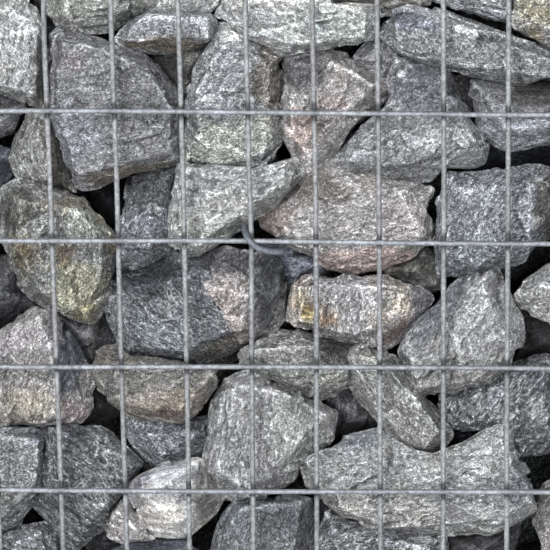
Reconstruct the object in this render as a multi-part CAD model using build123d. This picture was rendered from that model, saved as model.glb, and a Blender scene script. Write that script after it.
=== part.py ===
"""A free-standing gabion wall: two welded-mesh baskets side by side, filled with stone.

Frame: the origin is under the middle of the wall, at the level that it stands on.
X runs along the wall, the front faces -Y and Z is up. All sizes are millimetres.
"""

import os
from math import cos, pi, sin

from build123d import *

# Baskets: how many stand side by side, and how many mesh openings each has
bays = 2
openings_along = 20
openings_up = 10
openings_deep = 10

# Welded mesh: opening sizes, and the wire across its flats
opening_width = 50.0
opening_height = 100.0
wire = 4.0
panel_gap = 0.3

# Plainer panels: the back, ends and lids carry every second upright of the front's mesh,
# and the hidden base panels and diaphragms every second rail too
upright_step = 2
rail_step = 2

# Cross ties: bent rods that hold the front to the back, hooked over two wire crossings
tie_wire = 5.0
tie_sides = 6
tie_gap = 0.3
tie_columns = (7, 13)
tie_rows = (3, 7)
hook_tail_rise = 11.0
hook_tail_length = 14.0
hook_drop = 8.5
hook_reach = 27.0

# Clip rings: open wire rings that close every seam between two panels
ring_wire = 3.0
ring_sides = 6
ring_gap = 0.3
ring_mouth = 2.0
rings_per_seam = 3
rings_per_short_seam = 2

# Stone fill: set back behind the mesh, and lower than the lid
fill_setback = 12.0
fill_headroom = 10.0
bore_gap = 0.5

# Sizes that follow: distances between wire centres, and the layers from the ground up
bay_length = openings_along * opening_width
bay_step = bay_length + wire + panel_gap
end_width = openings_deep * opening_width
face_y = end_width / 2 + wire + panel_gap
rail_y = face_y + wire
lid_depth = 2 * rail_y
panel_height = openings_up * opening_height
base_cross_z = wire / 2
base_long_z = base_cross_z + wire
bottom_z = base_long_z + wire + panel_gap
top_z = bottom_z + panel_height
lid_long_z = top_z + wire + panel_gap
lid_cross_z = lid_long_z + wire
wall_end_x = (bays * bay_length + (bays - 1) * (wire + panel_gap)) / 2


def bay_left(bay):
    """The x of a bay's left edge wire."""
    return -wall_end_x + bay * bay_step


def spread(pieces, openings):
    """Opening numbers that spread so many pieces evenly along a panel."""
    return [int((piece + 0.5) * openings / pieces) for piece in range(pieces)]


def lattice(width, height, upright_pitch, rail_pitch):
    """A flat welded mesh: uprights in the XZ plane, rails welded on their -Y side.

    Its first upright is at x = 0 and its first rail at z = 0. Each wire is trimmed flush,
    and the pitches are rounded so that the wires end on the panel's edges.
    """
    columns = max(1, round(width / upright_pitch))
    rows = max(1, round(height / rail_pitch))
    upright = Box(wire, wire, height + wire)
    rail = Box(width + wire, wire, wire)
    uprights = [Pos(width * column / columns, 0, height / 2) * upright for column in range(columns + 1)]
    rails = [Pos(width / 2, -wire, height * row / rows) * rail for row in range(rows + 1)]
    return uprights[0].fuse(*uprights[1:], *rails)


def hook_points():
    """The front hook's path, from its tail over the crossing to where the rod runs back.

    Measured from the crossing: x to the right, y inward from the uprights, z up.
    """
    beside = wire / 2 + tie_wire / 2 + tie_gap
    ahead = -(1.5 * wire + tie_wire / 2 + tie_gap)
    return [
        (-beside - 0.8, hook_tail_length, hook_tail_rise),
        (-beside - 0.8, -wire / 2, hook_tail_rise),
        (-wire / 2, ahead - 0.4, wire),
        (wire, ahead - 0.4, -0.75 * hook_drop),
        (0.45 * hook_reach, ahead + 0.5, -hook_drop),
        (0.85 * hook_reach, -tie_wire, -hook_drop),
        (hook_reach, wire / 2, -hook_drop),
    ]


def tie():
    """A cross tie, with a hook at each end, about the crossing at x = 0, z = 0."""
    front = [(x, y - face_y, z) for x, y, z in hook_points()]
    back = [(x, -y, z) for x, y, z in reversed(front)]
    path = Polyline(*front, *back)
    section = Plane(origin=path @ 0, z_dir=path % 0) * RegularPolygon(
        tie_wire / 2, tie_sides, major_radius=False
    )
    return sweep(section, path=path, transition=Transition.RIGHT)


def ring(wires):
    """A clip ring in the XY plane round parallel wires, given by their centres.

    Its mouth faces +X.
    """
    xs = [x for x, y in wires]
    ys = [y for x, y in wires]
    middle_x = (min(xs) + max(xs)) / 2
    middle_y = (min(ys) + max(ys)) / 2
    half_width = (max(xs) - min(xs) + wire) / 2
    half_height = (max(ys) - min(ys) + wire) / 2
    turns = [pi * (2 * side + 1) / ring_sides for side in range(ring_sides)]
    reach = max(half_width * abs(cos(turn)) + half_height * abs(sin(turn)) for turn in turns) + ring_gap
    outline = RegularPolygon(reach + ring_wire, ring_sides, major_radius=False)
    hole = RegularPolygon(reach, ring_sides, major_radius=False)
    mouth = Pos(reach + ring_wire, 0) * Rectangle(2 * ring_wire, ring_mouth)
    clip = extrude(outline - hole - mouth, ring_wire / 2, both=True)
    return Pos(middle_x, middle_y) * clip


def corner_rings(edges, mouth_turn):
    """Rings up a vertical seam, whose wires stand at the given x and y."""
    turned = [(Vector(x, y, 0).rotate(Axis.Z, -mouth_turn)) for x, y in edges]
    clip = Rot(0, 0, mouth_turn) * ring([(point.X, point.Y) for point in turned])
    heights = [
        bottom_z + (opening + 0.5) * opening_height
        for opening in spread(rings_per_seam, openings_up)
    ]
    return Compound([Pos(0, 0, height) * clip for height in heights])


def long_rings(bay, side, levels, count):
    """Rings along a bay's top or bottom seam; side is -1 at the front and 1 at the back."""
    clip = ring([(-rail_y, level) for level in levels])
    if side > 0:
        clip = Rot(0, 180, 0) * clip
    upright_clip = Plane.YZ * clip
    places = [
        bay_left(bay) + (opening + 0.5) * opening_width
        for opening in spread(count, openings_along)
    ]
    return Compound([Pos(place, 0, 0) * upright_clip for place in places])


def cross_rings(wires, turn):
    """Rings along a lid's short seam, round wires given by their x and z."""
    flat = [(x * (-1 if turn else 1), z) for x, z in wires]
    clip = Rot(0, 180 if turn else 0, 0) * ring(flat)
    upright_clip = Rot(90, 0, 0) * clip
    places = [
        -end_width / 2 + (opening + 0.5) * opening_width
        for opening in spread(rings_per_short_seam, openings_deep)
    ]
    return Compound([Pos(0, place, 0) * upright_clip for place in places])


def stone_fill(bay):
    """The stones of one bay as a block on the base mesh, bored for the bay's ties."""
    length = bay_length - wire - 2 * fill_setback
    depth = 2 * face_y - wire - 2 * fill_setback
    floor_z = base_long_z + wire / 2 + panel_gap
    height = lid_long_z - wire / 2 - fill_headroom - floor_z
    middle_x = bay_left(bay) + bay_length / 2
    block = Pos(middle_x, 0, floor_z + height / 2) * Box(length, depth, height)
    bore = Rot(90, 0, 0) * extrude(
        RegularPolygon(tie_wire / 2 + bore_gap, tie_sides, major_radius=False), depth, both=True
    )
    for x, z in tie_places(bay):
        block -= Pos(x + hook_reach, 0, z - hook_drop) * bore
    return block


def tie_places(bay):
    """The wire crossings of one bay that its ties are hooked over."""
    return [
        (bay_left(bay) + column * opening_width, bottom_z + row * opening_height)
        for row in tie_rows
        for column in tie_columns
    ]


wide_pitch = upright_step * opening_width
tall_pitch = rail_step * opening_height
front_mesh = lattice(bay_length, panel_height, opening_width, opening_height)
back_mesh = lattice(bay_length, panel_height, wide_pitch, opening_height)
end_mesh = lattice(end_width, panel_height, wide_pitch, opening_height)
inner_mesh = lattice(end_width, panel_height, wide_pitch, tall_pitch)
lid_mesh = lattice(bay_length, lid_depth, wide_pitch, opening_height)
base_mesh = lattice(bay_length, lid_depth, wide_pitch, tall_pitch)
cross_tie = tie()

nodes = {}
for bay in range(bays):
    name = bay + 1
    left = bay_left(bay)
    right = left + bay_length
    nodes[f"front_panel_{name}"] = Pos(left, -face_y, bottom_z) * front_mesh
    nodes[f"back_panel_{name}"] = Pos(right, face_y, bottom_z) * Rot(0, 0, 180) * back_mesh
    nodes[f"lid_{name}"] = Pos(left, rail_y, lid_cross_z) * Rot(90, 0, 0) * lid_mesh
    nodes[f"base_panel_{name}"] = Pos(left, -rail_y, base_cross_z) * Rot(-90, 0, 0) * base_mesh
    nodes[f"stone_fill_{name}"] = stone_fill(bay)
    for number, (x, z) in enumerate(tie_places(bay), start=1):
        nodes[f"cross_tie_{name}_{number}"] = Pos(x, 0, z) * cross_tie
    for side, face in ((-1, "front"), (1, "back")):
        nodes[f"lid_clips_{face}_{name}"] = long_rings(
            bay, side, (top_z, lid_long_z), rings_per_seam
        )
        nodes[f"base_clips_{face}_{name}"] = long_rings(
            bay, side, (base_long_z, bottom_z), rings_per_short_seam
        )

nodes["end_panel_left"] = Pos(-wall_end_x, end_width / 2, bottom_z) * Rot(0, 0, -90) * end_mesh
nodes["end_panel_right"] = Pos(wall_end_x, -end_width / 2, bottom_z) * Rot(0, 0, 90) * end_mesh
for seam in range(1, bays):
    seam_x = bay_left(seam) - (wire + panel_gap) / 2
    place = Pos(seam_x, -end_width / 2, bottom_z)
    nodes[f"diaphragm_{seam}"] = place * Rot(0, 0, 90) * inner_mesh

for side, face, turn in ((-1, "front", 90), (1, "back", -90)):
    for end, corner in ((-1, "left"), (1, "right")):
        edges = [(end * wall_end_x, side * face_y), (end * wall_end_x, side * end_width / 2)]
        nodes[f"corner_clips_{face}_{corner}"] = corner_rings(edges, turn)
    for seam in range(1, bays):
        left_edge = bay_left(seam) - wire - panel_gap
        edges = [(left_edge, side * face_y), (bay_left(seam), side * face_y)]
        edges.append(((left_edge + bay_left(seam)) / 2, side * end_width / 2))
        nodes[f"seam_clips_{face}_{seam}"] = corner_rings(edges, turn)

for end, corner in ((-1, "left"), (1, "right")):
    wires = [(end * (wall_end_x + wire), top_z), (end * wall_end_x, lid_cross_z)]
    nodes[f"lid_end_clips_{corner}"] = cross_rings(wires, end > 0)
for seam in range(1, bays):
    left_edge = bay_left(seam) - wire - panel_gap
    wires = [(left_edge, lid_cross_z), (bay_left(seam), lid_cross_z)]
    wires.append(((left_edge + bay_left(seam)) / 2 + wire, top_z))
    nodes[f"lid_seam_clips_{seam}"] = cross_rings(wires, False)

os.makedirs("parts", exist_ok=True)
for node, shape in nodes.items():
    export_step(shape, f"parts/{node}.step")
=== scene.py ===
"""Looks of the gabion wall: round galvanised wires over broken grey rock.

Lengths are millimetres until a mesh is made, which is in metres, in the frame of the CAD model:
X runs along the wall, the front faces -Y and Z is up.
"""
from collections import namedtuple
from itertools import combinations, product
from math import cos, pi, radians, sin

import bmesh
import bpy
import numpy as np
from mathutils import Matrix, Vector


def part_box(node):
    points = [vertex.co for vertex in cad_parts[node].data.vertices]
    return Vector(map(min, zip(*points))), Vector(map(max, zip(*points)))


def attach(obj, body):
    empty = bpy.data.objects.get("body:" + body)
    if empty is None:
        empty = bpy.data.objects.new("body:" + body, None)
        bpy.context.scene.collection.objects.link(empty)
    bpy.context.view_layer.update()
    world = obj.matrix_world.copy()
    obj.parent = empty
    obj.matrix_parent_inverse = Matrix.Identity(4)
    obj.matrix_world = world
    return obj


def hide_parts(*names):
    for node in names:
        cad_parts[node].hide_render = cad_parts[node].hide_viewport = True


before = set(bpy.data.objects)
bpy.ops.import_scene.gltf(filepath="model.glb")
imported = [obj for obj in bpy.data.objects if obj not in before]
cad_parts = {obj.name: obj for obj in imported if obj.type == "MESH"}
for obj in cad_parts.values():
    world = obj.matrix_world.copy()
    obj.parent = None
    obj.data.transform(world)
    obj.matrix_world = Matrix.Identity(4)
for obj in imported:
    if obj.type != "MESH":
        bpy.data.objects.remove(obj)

MM = 0.001
X, Y, Z = 0, 1, 2


def box(node):
    """The lowest and highest corner of a CAD node, in millimetres."""
    return [np.array(corner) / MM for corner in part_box(node)]


# The wall, from the frame
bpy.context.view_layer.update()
front_low, front_high = box("front_panel_1")
wire = (front_high[Y] - front_low[Y]) / 2
mesh_y = front_high[Y] - wire / 2
opening_width = 50.0
opening_height = 100.0
bays = sum(name.startswith("front_panel_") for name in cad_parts)

# The photograph: 550 by 550 pixels, and where its camera stood, from the wire crossing that
# the hook hangs on
PHOTO_SIZE = 550
hook_column = 13
hook_row = 7
hook_crossing = Vector((
    front_low[X] + wire / 2 + hook_column * opening_width,
    mesh_y,
    front_low[Z] + wire / 2 + hook_row * opening_height,
))
SENSOR = 36.0
LENS = 214.8
focal_pixels = LENS / SENSOR * PHOTO_SIZE
camera_distance = 2520.5
camera_pan = radians(-3.956)
camera_tilt = radians(14.073)
camera_roll = radians(-0.758)
camera_target = hook_crossing + Vector((21.03, 0, -27.56))
ahead = Vector((
    sin(camera_pan) * cos(camera_tilt), cos(camera_pan) * cos(camera_tilt), -sin(camera_tilt)
))
eye = camera_target - camera_distance * ahead
level_right = ahead.cross(Vector((0, 0, 1))).normalized()
level_up = level_right.cross(ahead)
view_right = cos(camera_roll) * level_right + sin(camera_roll) * level_up
view_up = cos(camera_roll) * level_up - sin(camera_roll) * level_right
view_axes = np.array([view_right, view_up, -ahead])


def at(px, py, depth):
    """The point that a pixel of the photograph shows, so deep behind the front uprights."""
    half = PHOTO_SIZE / 2
    ray = ahead + view_right * (px - half) / focal_pixels - view_up * (py - half) / focal_pixels
    return np.array(eye + ray * ((mesh_y + depth - eye.y) / ray.y))


# Kinds of rock: colour as seen (sRGB), then how strongly it is banded, flecked, stained and veined
Rock = namedtuple("Rock", "colour banding fleck stain vein")
ROCKS = {
    "grey": Rock((0.545, 0.55, 0.565), 0.3, 0.75, 0.05, 0.2),
    "mid": Rock((0.48, 0.49, 0.505), 0.3, 0.85, 0.1, 0.3),
    "pale": Rock((0.665, 0.67, 0.675), 0.5, 0.7, 0.15, 0.2),
    "quartz": Rock((0.79, 0.795, 0.803), 0.2, 0.25, 0.25, 0.0),
    "green": Rock((0.55, 0.555, 0.55), 0.35, 0.9, 0.15, 0.3),
    "mossy": Rock((0.512, 0.518, 0.515), 0.4, 0.9, 1.0, 0.0),
    "rusty": Rock((0.648, 0.645, 0.652), 0.6, 0.9, 0.9, 0.0),
    "dark": Rock((0.455, 0.465, 0.485), 0.4, 1.1, 0.0, 0.6),
    "brown": Rock((0.526, 0.523, 0.515), 0.3, 0.7, 0.35, 0.1),
    # A dark kind only for stones deep in recesses: its dark colour is painted shade
    "shaded_recess": Rock((0.322, 0.326, 0.34), 0.3, 0.6, 0.2, 0.0),
    "pink": Rock((0.66, 0.65, 0.65), 0.2, 0.75, 0.2, 0.0),
    "blue": Rock((0.54, 0.549, 0.561), 0.3, 1.0, 0.0, 0.3),
    "streaked": Rock((0.53, 0.54, 0.555), 1.5, 1.0, 0.05, 0.5),
    # A dark bluish kind; on the stones deep in recesses its colour is painted shade
    "slate": Rock((0.262, 0.274, 0.303), 0.5, 0.6, 0.0, 0.2),
}

# Stones of the photographed stretch, in its pixels: how much lighter than its kind, kind, lie of
# the grain in degrees, depth of the outline behind the mesh, crest points with their depths, and
# the outline. The tone also paints light and shade: it darkens some stones deep in recesses and
# lightens others that lie in shadow
Stone = namedtuple("Stone", "name tone kind grain rim crest outline")
PHOTO_STONES = [
    Stone("pale_left", 1.05, "pale", 80, 40, [
        (-40, 30, 12), (0, 34, 7), (36, 30, 13), (36, 95, 18), (0, 84, 15)], [
        (-62, -22), (-10, -18), (20, -4), (38, 10), (46, 22), (48, 60), (44, 105), (30, 103),
        (10, 97), (-3, 88), (-30, 80), (-64, 60)]),
    Stone("green_top", 1.27, "green", 10, 38, [
        (60, -40, 10), (130, -40, 10), (70, 10, 14), (115, 8, 12)], [
        (30, -60), (60, -75), (110, -72), (160, -50), (165, -20), (157, 2), (147, 11), (124, 26),
        (108, 34), (76, 33), (60, 25), (48, 14), (40, -14)]),
    Stone("big_grey", 0.97, "grey", 15, 40, [
        (60, 40, 10), (100, 48, 8), (150, 75, 10), (172, 110, 12), (170, 150, 14), (115, 168, 12),
        (80, 172, 16), (56, 110, 12)], [
        (49, 35), (61, 28), (75, 32), (109, 43), (137, 51), (158, 67), (175, 88), (181, 114),
        (178, 161), (123, 175), (84, 189), (77, 186), (70, 172), (58, 140), (50, 105)]),
    Stone("slab_top", 1.05, "blue", 5, 36, [
        (130, 30, 16), (150, 18, 14), (205, 20, 14), (208, 38, 12), (150, 42, 10), (125, 40, 14)], [
        (117, 41), (123, 33), (133, 19), (154, 12), (208, 16), (214, 22), (213, 36), (205, 46),
        (180, 50), (150, 50), (125, 47)]),
    Stone("under_slab", 0.59, "brown", 10, 54, [
        (190, 62, 36)], [
        (150, 46), (178, 40), (212, 38), (214, 52), (202, 72), (188, 92), (182, 100), (172, 88),
        (160, 66)]),
    Stone("bright_tip", 2.18, "pale", 30, 38, [
        (185, -6, 10), (205, -20, 10)], [
        (150, -10), (165, -40), (200, -48), (224, -32), (218, 2), (207, 10), (190, 13), (175, 12),
        (156, 9)]),
    Stone("light_slab", 1.19, "pale", 0, 38, [
        (250, 0, 10), (320, 0, 8), (365, 14, 14), (365, 35, 16), (290, 44, 12), (255, 32, 14)], [
        (212, 18), (222, 4), (228, -20), (255, -50), (310, -52), (330, -25), (328, 4), (373, 7),
        (391, 14), (380, 19), (373, 42), (342, 41), (328, 46), (287, 56), (278, 53), (248, 38),
        (228, 20)]),
    Stone("middle_boulder", 1.2, "blue", 25, 38, [
        (222, 46, 10), (243, 46, 12), (270, 70, 14), (268, 120, 12), (262, 152, 14), (200, 146, 12),
        (198, 92, 8), (215, 164, 22)], [
        (187, 87), (197, 72), (207, 55), (214, 42), (212, 28), (225, 24), (243, 38), (284, 58),
        (281, 108), (285, 136), (273, 150), (264, 167), (256, 176), (230, 174), (200, 168),
        (188, 162), (183, 145), (186, 108)]),
    Stone("pale_wedge", 0.9, "pale", 20, 40, [
        (185, 172, 12), (250, 180, 10), (285, 165, 16), (280, 185, 14), (230, 222, 10),
        (195, 245, 12), (178, 225, 14)], [
        (178, 163), (219, 168), (253, 172), (262, 168), (275, 151), (286, 143), (298, 158),
        (306, 172), (289, 190), (275, 208), (254, 218), (226, 237), (200, 256), (186, 258),
        (174, 249), (168, 235), (167, 219), (172, 190)]),
    Stone("dark_wedge", 1.1, "dark", 15, 50, [
        (150, 200, 24), (150, 245, 16), (130, 250, 24)], [
        (130, 177), (150, 168), (177, 164), (171, 192), (166, 220), (168, 236), (172, 250),
        (150, 263), (125, 273), (112, 265), (110, 258), (118, 240), (128, 200)]),
    Stone("deep_violet", 0.15, "slate", 60, 88, [
        (110, 200, 72)], [
        (88, 185), (112, 180), (130, 176), (128, 200), (120, 230), (105, 218)]),
    Stone("narrow_left", 0.92, "green", 80, 45, [
        (44, 118, 18), (46, 178, 16), (28, 150, 20)], [
        (31, 113), (44, 108), (51, 113), (56, 140), (67, 167), (75, 191), (58, 188), (40, 184),
        (19, 177), (12, 158), (18, 138)]),
    Stone("left_edge_upper", 0.85, "grey", 20, 48, [
        (0, 112, 26), (-30, 108, 24)], [
        (-50, 90), (-14, 84), (0, 92), (10, 99), (22, 106), (18, 117), (13, 130), (2, 135),
        (-20, 138), (-48, 132)]),
    Stone("left_edge_lower", 1.11, "slate", 60, 50, [
        (-10, 172, 30)], [
        (-44, 152), (0, 147), (8, 150), (9, 170), (4, 190), (-14, 202), (-46, 196)]),
    Stone("stained", 1.13, "mossy", 70, 40, [
        (20, 200, 12), (80, 212, 10), (100, 240, 12), (100, 280, 14), (85, 315, 18), (40, 290, 16),
        (20, 250, 14)], [
        (4, 190), (18, 181), (55, 190), (79, 198), (98, 215), (112, 235), (110, 262), (112, 291),
        (98, 315), (89, 325), (77, 322), (51, 307), (30, 298), (24, 288), (12, 260), (2, 240),
        (1, 215)]),
    Stone("pink_upper", 0.93, "pink", 30, 40, [
        (295, 65, 14), (330, 62, 12), (375, 85, 14), (355, 108, 16), (325, 130, 14), (310, 158, 20),
        (290, 130, 14)], [
        (286, 58), (298, 53), (328, 50), (342, 54), (357, 61), (380, 79), (390, 86), (391, 91),
        (370, 112), (350, 123), (343, 133), (335, 156), (308, 171), (301, 163), (286, 146),
        (277, 123), (284, 98), (284, 77)]),
    Stone("speckled_middle", 1.18, "grey", 25, 40, [
        (405, 80, 16), (440, 80, 16), (450, 110, 12), (475, 140, 12), (440, 150, 8), (400, 165, 14),
        (350, 160, 14), (375, 125, 12)], [
        (396, 61), (426, 61), (442, 70), (449, 75), (450, 93), (464, 103), (470, 123), (482, 133),
        (485, 146), (482, 161), (473, 165), (443, 163), (429, 177), (419, 180), (387, 174),
        (345, 170), (333, 160), (345, 146), (359, 130), (387, 109), (394, 100), (387, 84)]),
    Stone("small_upper", 0.98, "grey", 40, 44, [
        (378, 62, 24)], [
        (357, 58), (373, 40), (392, 44), (397, 60), (389, 76), (384, 81), (370, 70)]),
    Stone("long_slab", 1.05, "blue", -20, 38, [
        (395, 24, 12), (440, 22, 10), (500, 42, 10), (560, 62, 12), (540, 76, 14), (470, 66, 12),
        (400, 48, 14)], [
        (380, 19), (394, 13), (408, 6), (429, 7), (461, 19), (507, 33), (549, 51), (590, 66),
        (592, 82), (528, 83), (503, 81), (450, 70), (408, 58), (387, 46), (378, 35)]),
    Stone("streaked_top", 1.94, "streaked", -25, 38, [
        (470, -16, 9), (500, 5, 12)], [
        (425, -40), (470, -52), (508, -45), (511, 22), (495, 18), (475, 10), (455, 4), (430, -5)]),
    Stone("ochre_top", 1.66, "mossy", 20, 36, [
        (545, 0, 8), (575, 30, 10)], [
        (508, -40), (570, -52), (612, -10), (606, 50), (590, 60), (550, 46), (531, 33), (513, 24)]),
    Stone("brown_top", 1.06, "brown", 0, 46, [
        (380, -14, 24)], [
        (332, -45), (380, -55), (425, -48), (432, 5), (408, 8), (394, 14), (380, 11), (345, 7),
        (326, 4)]),
    Stone("right_upper", 0.98, "grey", 10, 44, [
        (482, 92, 26), (560, 98, 24), (505, 128, 14), (560, 125, 16)], [
        (470, 79), (503, 82), (562, 82), (600, 90), (598, 130), (562, 140), (526, 146), (508, 150),
        (501, 146), (482, 130), (473, 105)]),
    Stone("brown_gap", 2.12, "shaded_recess", 60, 75, [
        (460, 98, 60)], [
        (445, 72), (474, 78), (480, 107), (486, 128), (466, 126), (450, 95)]),
    Stone("deep_right", 1.15, "slate", 10, 98, [
        (520, 155, 84)], [
        (480, 132), (505, 145), (570, 138), (600, 150), (580, 172), (505, 178), (466, 172),
        (476, 155)]),
    Stone("pink_large", 1.06, "pink", 10, 42, [
        (290, 215, 20), (330, 180, 24), (400, 192, 18), (420, 235, 12), (385, 255, 13),
        (330, 258, 14), (300, 240, 16)], [
        (258, 215), (275, 209), (289, 190), (308, 172), (333, 161), (345, 170), (419, 180),
        (433, 189), (424, 203), (422, 211), (435, 226), (434, 239), (405, 260), (384, 267),
        (354, 274), (324, 268), (314, 256), (286, 246), (262, 226)]),
    Stone("dark_right", 1.24, "dark", 50, 40, [
        (455, 190, 14), (530, 185, 14), (528, 235, 10), (480, 262, 14), (445, 250, 14)], [
        (448, 170), (461, 173), (505, 173), (528, 165), (562, 168), (575, 190), (562, 215),
        (542, 240), (529, 247), (526, 258), (507, 265), (489, 269), (468, 277), (437, 279),
        (434, 249), (438, 207), (446, 182)]),
    Stone("behind_hook", 2.81, "slate", 20, 62, [
        (300, 262, 42)], [
        (262, 243), (290, 245), (316, 256), (324, 270), (308, 282), (294, 295), (286, 312),
        (282, 330), (276, 320), (281, 290), (272, 265)]),
    Stone("left_recess", 2.67, "shaded_recess", 40, 78, [
        (0, 290, 58)], [
        (-48, 262), (14, 258), (26, 290), (34, 306), (10, 322), (-48, 342)]),
    Stone("ridged_left", 0.9, "pink", 70, 42, [
        (38, 318, 18), (50, 345, 8), (58, 415, 12), (-30, 350, 24), (-30, 412, 24)], [
        (-60, 352), (-15, 340), (0, 333), (18, 321), (35, 307), (47, 308), (58, 322), (74, 342),
        (91, 370), (95, 384), (89, 410), (81, 421), (35, 425), (-15, 425), (-58, 418)]),
    Stone("veined_recess", 1.17, "shaded_recess", 80, 66, [
        (85, 335, 50)], [
        (55, 314), (72, 318), (92, 324), (102, 314), (112, 332), (118, 342), (108, 348), (97, 358),
        (95, 372), (80, 360), (68, 342)]),
    Stone("big_dark", 0.8, "dark", -30, 46, [
        (122, 292, 18), (205, 272, 14), (228, 330, 14), (185, 350, 14), (130, 345, 20)], [
        (105, 302), (112, 285), (120, 275), (172, 253), (206, 256), (240, 262), (252, 340),
        (236, 352), (202, 363), (184, 361), (126, 357), (116, 336), (107, 318)]),
    Stone("pink_lobe", 0.77, "pink", 60, 38, [
        (205, 285, 12), (246, 296, 5), (240, 328, 12), (278, 290, 22)], [
        (188, 275), (192, 262), (205, 254), (225, 246), (262, 250), (278, 262), (284, 290),
        (283, 318), (275, 332), (240, 341), (215, 328), (193, 303), (190, 292)]),
    Stone("brown_oval", 1.11, "brown", 5, 40, [
        (110, 360, 16), (210, 375, 14), (180, 410, 9), (130, 400, 13)], [
        (95, 363), (96, 352), (105, 345), (116, 343), (133, 359), (184, 363), (221, 368),
        (219, 380), (198, 414), (186, 424), (168, 427), (133, 414), (98, 389), (95, 378)]),
    Stone("brown_under", 0.3, "shaded_recess", 30, 66, [
        (100, 405, 52)], [
        (86, 408), (95, 386), (110, 396), (124, 405), (120, 414), (95, 421), (81, 424)]),
    Stone("dark_under", 1.15, "dark", -30, 48, [
        (145, 434, 22), (198, 432, 22), (160, 456, 18)], [
        (126, 412), (146, 418), (186, 421), (212, 415), (210, 450), (186, 461), (160, 466),
        (146, 459), (133, 447), (127, 433)]),
    Stone("left_lower", 0.95, "blue", 20, 42, [
        (0, 436, 20), (38, 442, 14), (36, 482, 14), (0, 518, 20)], [
        (-52, 436), (-12, 427), (35, 426), (47, 438), (46, 452), (42, 477), (42, 486), (32, 501),
        (23, 510), (18, 524), (5, 531), (-50, 528)]),
    Stone("striped_dark", 0.58, "streaked", -40, 40, [
        (60, 432, 14), (110, 445, 10), (135, 465, 14), (90, 520, 12), (58, 498, 14)], [
        (42, 427), (60, 424), (98, 428), (112, 436), (138, 455), (146, 463), (132, 484), (121, 496),
        (103, 524), (91, 538), (75, 548), (68, 545), (51, 519), (32, 501), (43, 484), (48, 450)]),
    Stone("small_recess", 0.12, "shaded_recess", 20, 70, [
        (35, 518, 56)], [
        (14, 512), (33, 500), (54, 520), (50, 534), (30, 537), (10, 532)]),
    Stone("striped_pale", 0.78, "streaked", -40, 44, [
        (0, 548, 20), (40, 532, 18), (50, 560, 14)], [
        (-45, 540), (4, 532), (32, 526), (46, 522), (60, 538), (67, 550), (66, 590), (20, 605),
        (-45, 592)]),
    Stone("quartz", 1.0, "quartz", 10, 36, [
        (142, 478, 14), (185, 468, 12), (206, 490, 15), (180, 522, 10), (145, 496, 8)], [
        (130, 487), (139, 480), (168, 465), (184, 464), (203, 459), (206, 477), (224, 499),
        (211, 513), (186, 535), (172, 536), (153, 534), (139, 513), (130, 494)]),
    Stone("beige", 1.8, "pink", 40, 44, [
        (118, 512, 10), (136, 530, 12)], [
        (121, 498), (130, 498), (145, 520), (153, 538), (140, 542), (126, 542), (112, 536),
        (105, 528), (107, 517)]),
    Stone("green_deep", 1.56, "shaded_recess", 20, 78, [
        (105, 545, 64)], [
        (86, 540), (103, 526), (114, 534), (130, 540), (112, 556), (90, 560)]),
    Stone("bottom_dark", 2.64, "slate", 10, 42, [
        (150, 556, 16), (190, 560, 16)], [
        (92, 570), (112, 550), (130, 544), (175, 540), (186, 540), (200, 555), (205, 590),
        (150, 605), (95, 595)]),
    Stone("bottom_boulder", 0.85, "mid", 75, 42, [
        (240, 510, 14), (300, 503, 14), (290, 575, 12), (235, 575, 14)], [
        (200, 575), (213, 545), (220, 530), (226, 515), (233, 504), (275, 497), (314, 498),
        (317, 520), (312, 560), (308, 600), (250, 612), (205, 602)]),
    Stone("rough_pale", 0.95, "pale", 85, 40, [
        (235, 385, 14), (290, 396, 11), (325, 415, 14), (298, 448, 16), (250, 490, 12),
        (218, 470, 12)], [
        (225, 380), (249, 371), (275, 383), (305, 400), (331, 407), (335, 414), (331, 440),
        (318, 453), (298, 460), (294, 478), (262, 497), (233, 503), (219, 496), (205, 468),
        (205, 456), (211, 408)]),
    Stone("green_oval", 1.07, "green", 5, 42, [
        (255, 350, 14), (310, 346, 14), (340, 365, 16), (300, 388, 14)], [
        (237, 354), (240, 349), (275, 330), (289, 331), (328, 340), (359, 345), (352, 350),
        (345, 371), (352, 389), (336, 394), (319, 399), (293, 387), (263, 373), (239, 364)]),
    Stone("rusty_pale", 1.11, "rusty", 75, 37, [
        (298, 286, 13), (350, 284, 11), (405, 294, 12), (392, 318, 9), (350, 334, 12),
        (300, 322, 14)], [
        (286, 312), (294, 284), (308, 277), (336, 282), (350, 277), (380, 277), (408, 287),
        (433, 293), (436, 300), (433, 307), (414, 321), (398, 338), (387, 347), (342, 340),
        (312, 333), (286, 322)]),
    Stone("blue_recess", 0.55, "brown", 20, 46, [
        (415, 270, 26)], [
        (384, 268), (405, 258), (426, 246), (439, 262), (443, 290), (430, 290), (412, 284),
        (395, 282)]),
    Stone("ridged_light", 0.82, "pale", 60, 38, [
        (482, 280, 14), (488, 300, 7), (459, 354, 7), (512, 350, 14), (480, 378, 14),
        (420, 388, 16), (408, 345, 14)], [
        (447, 301), (450, 291), (470, 274), (498, 266), (503, 289), (524, 322), (524, 336),
        (510, 363), (491, 382), (447, 391), (419, 396), (408, 387), (399, 350), (410, 329),
        (440, 305)]),
    Stone("right_speckled", 1.6, "green", 30, 38, [
        (540, 286, 9), (575, 290, 10)], [
        (515, 294), (524, 286), (550, 267), (575, 258), (605, 270), (600, 322), (562, 328),
        (535, 315), (515, 301)]),
    Stone("right_recess", 0.39, "shaded_recess", 10, 70, [
        (545, 340, 54)], [
        (516, 304), (540, 318), (600, 322), (600, 360), (530, 366), (508, 368), (524, 345)]),
    Stone("diagonal", 1.1, "green", -55, 38, [
        (360, 355, 16), (385, 365, 11), (440, 430, 10), (425, 446, 14), (382, 412, 14)], [
        (346, 363), (350, 354), (361, 345), (373, 344), (387, 352), (400, 363), (408, 384),
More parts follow.
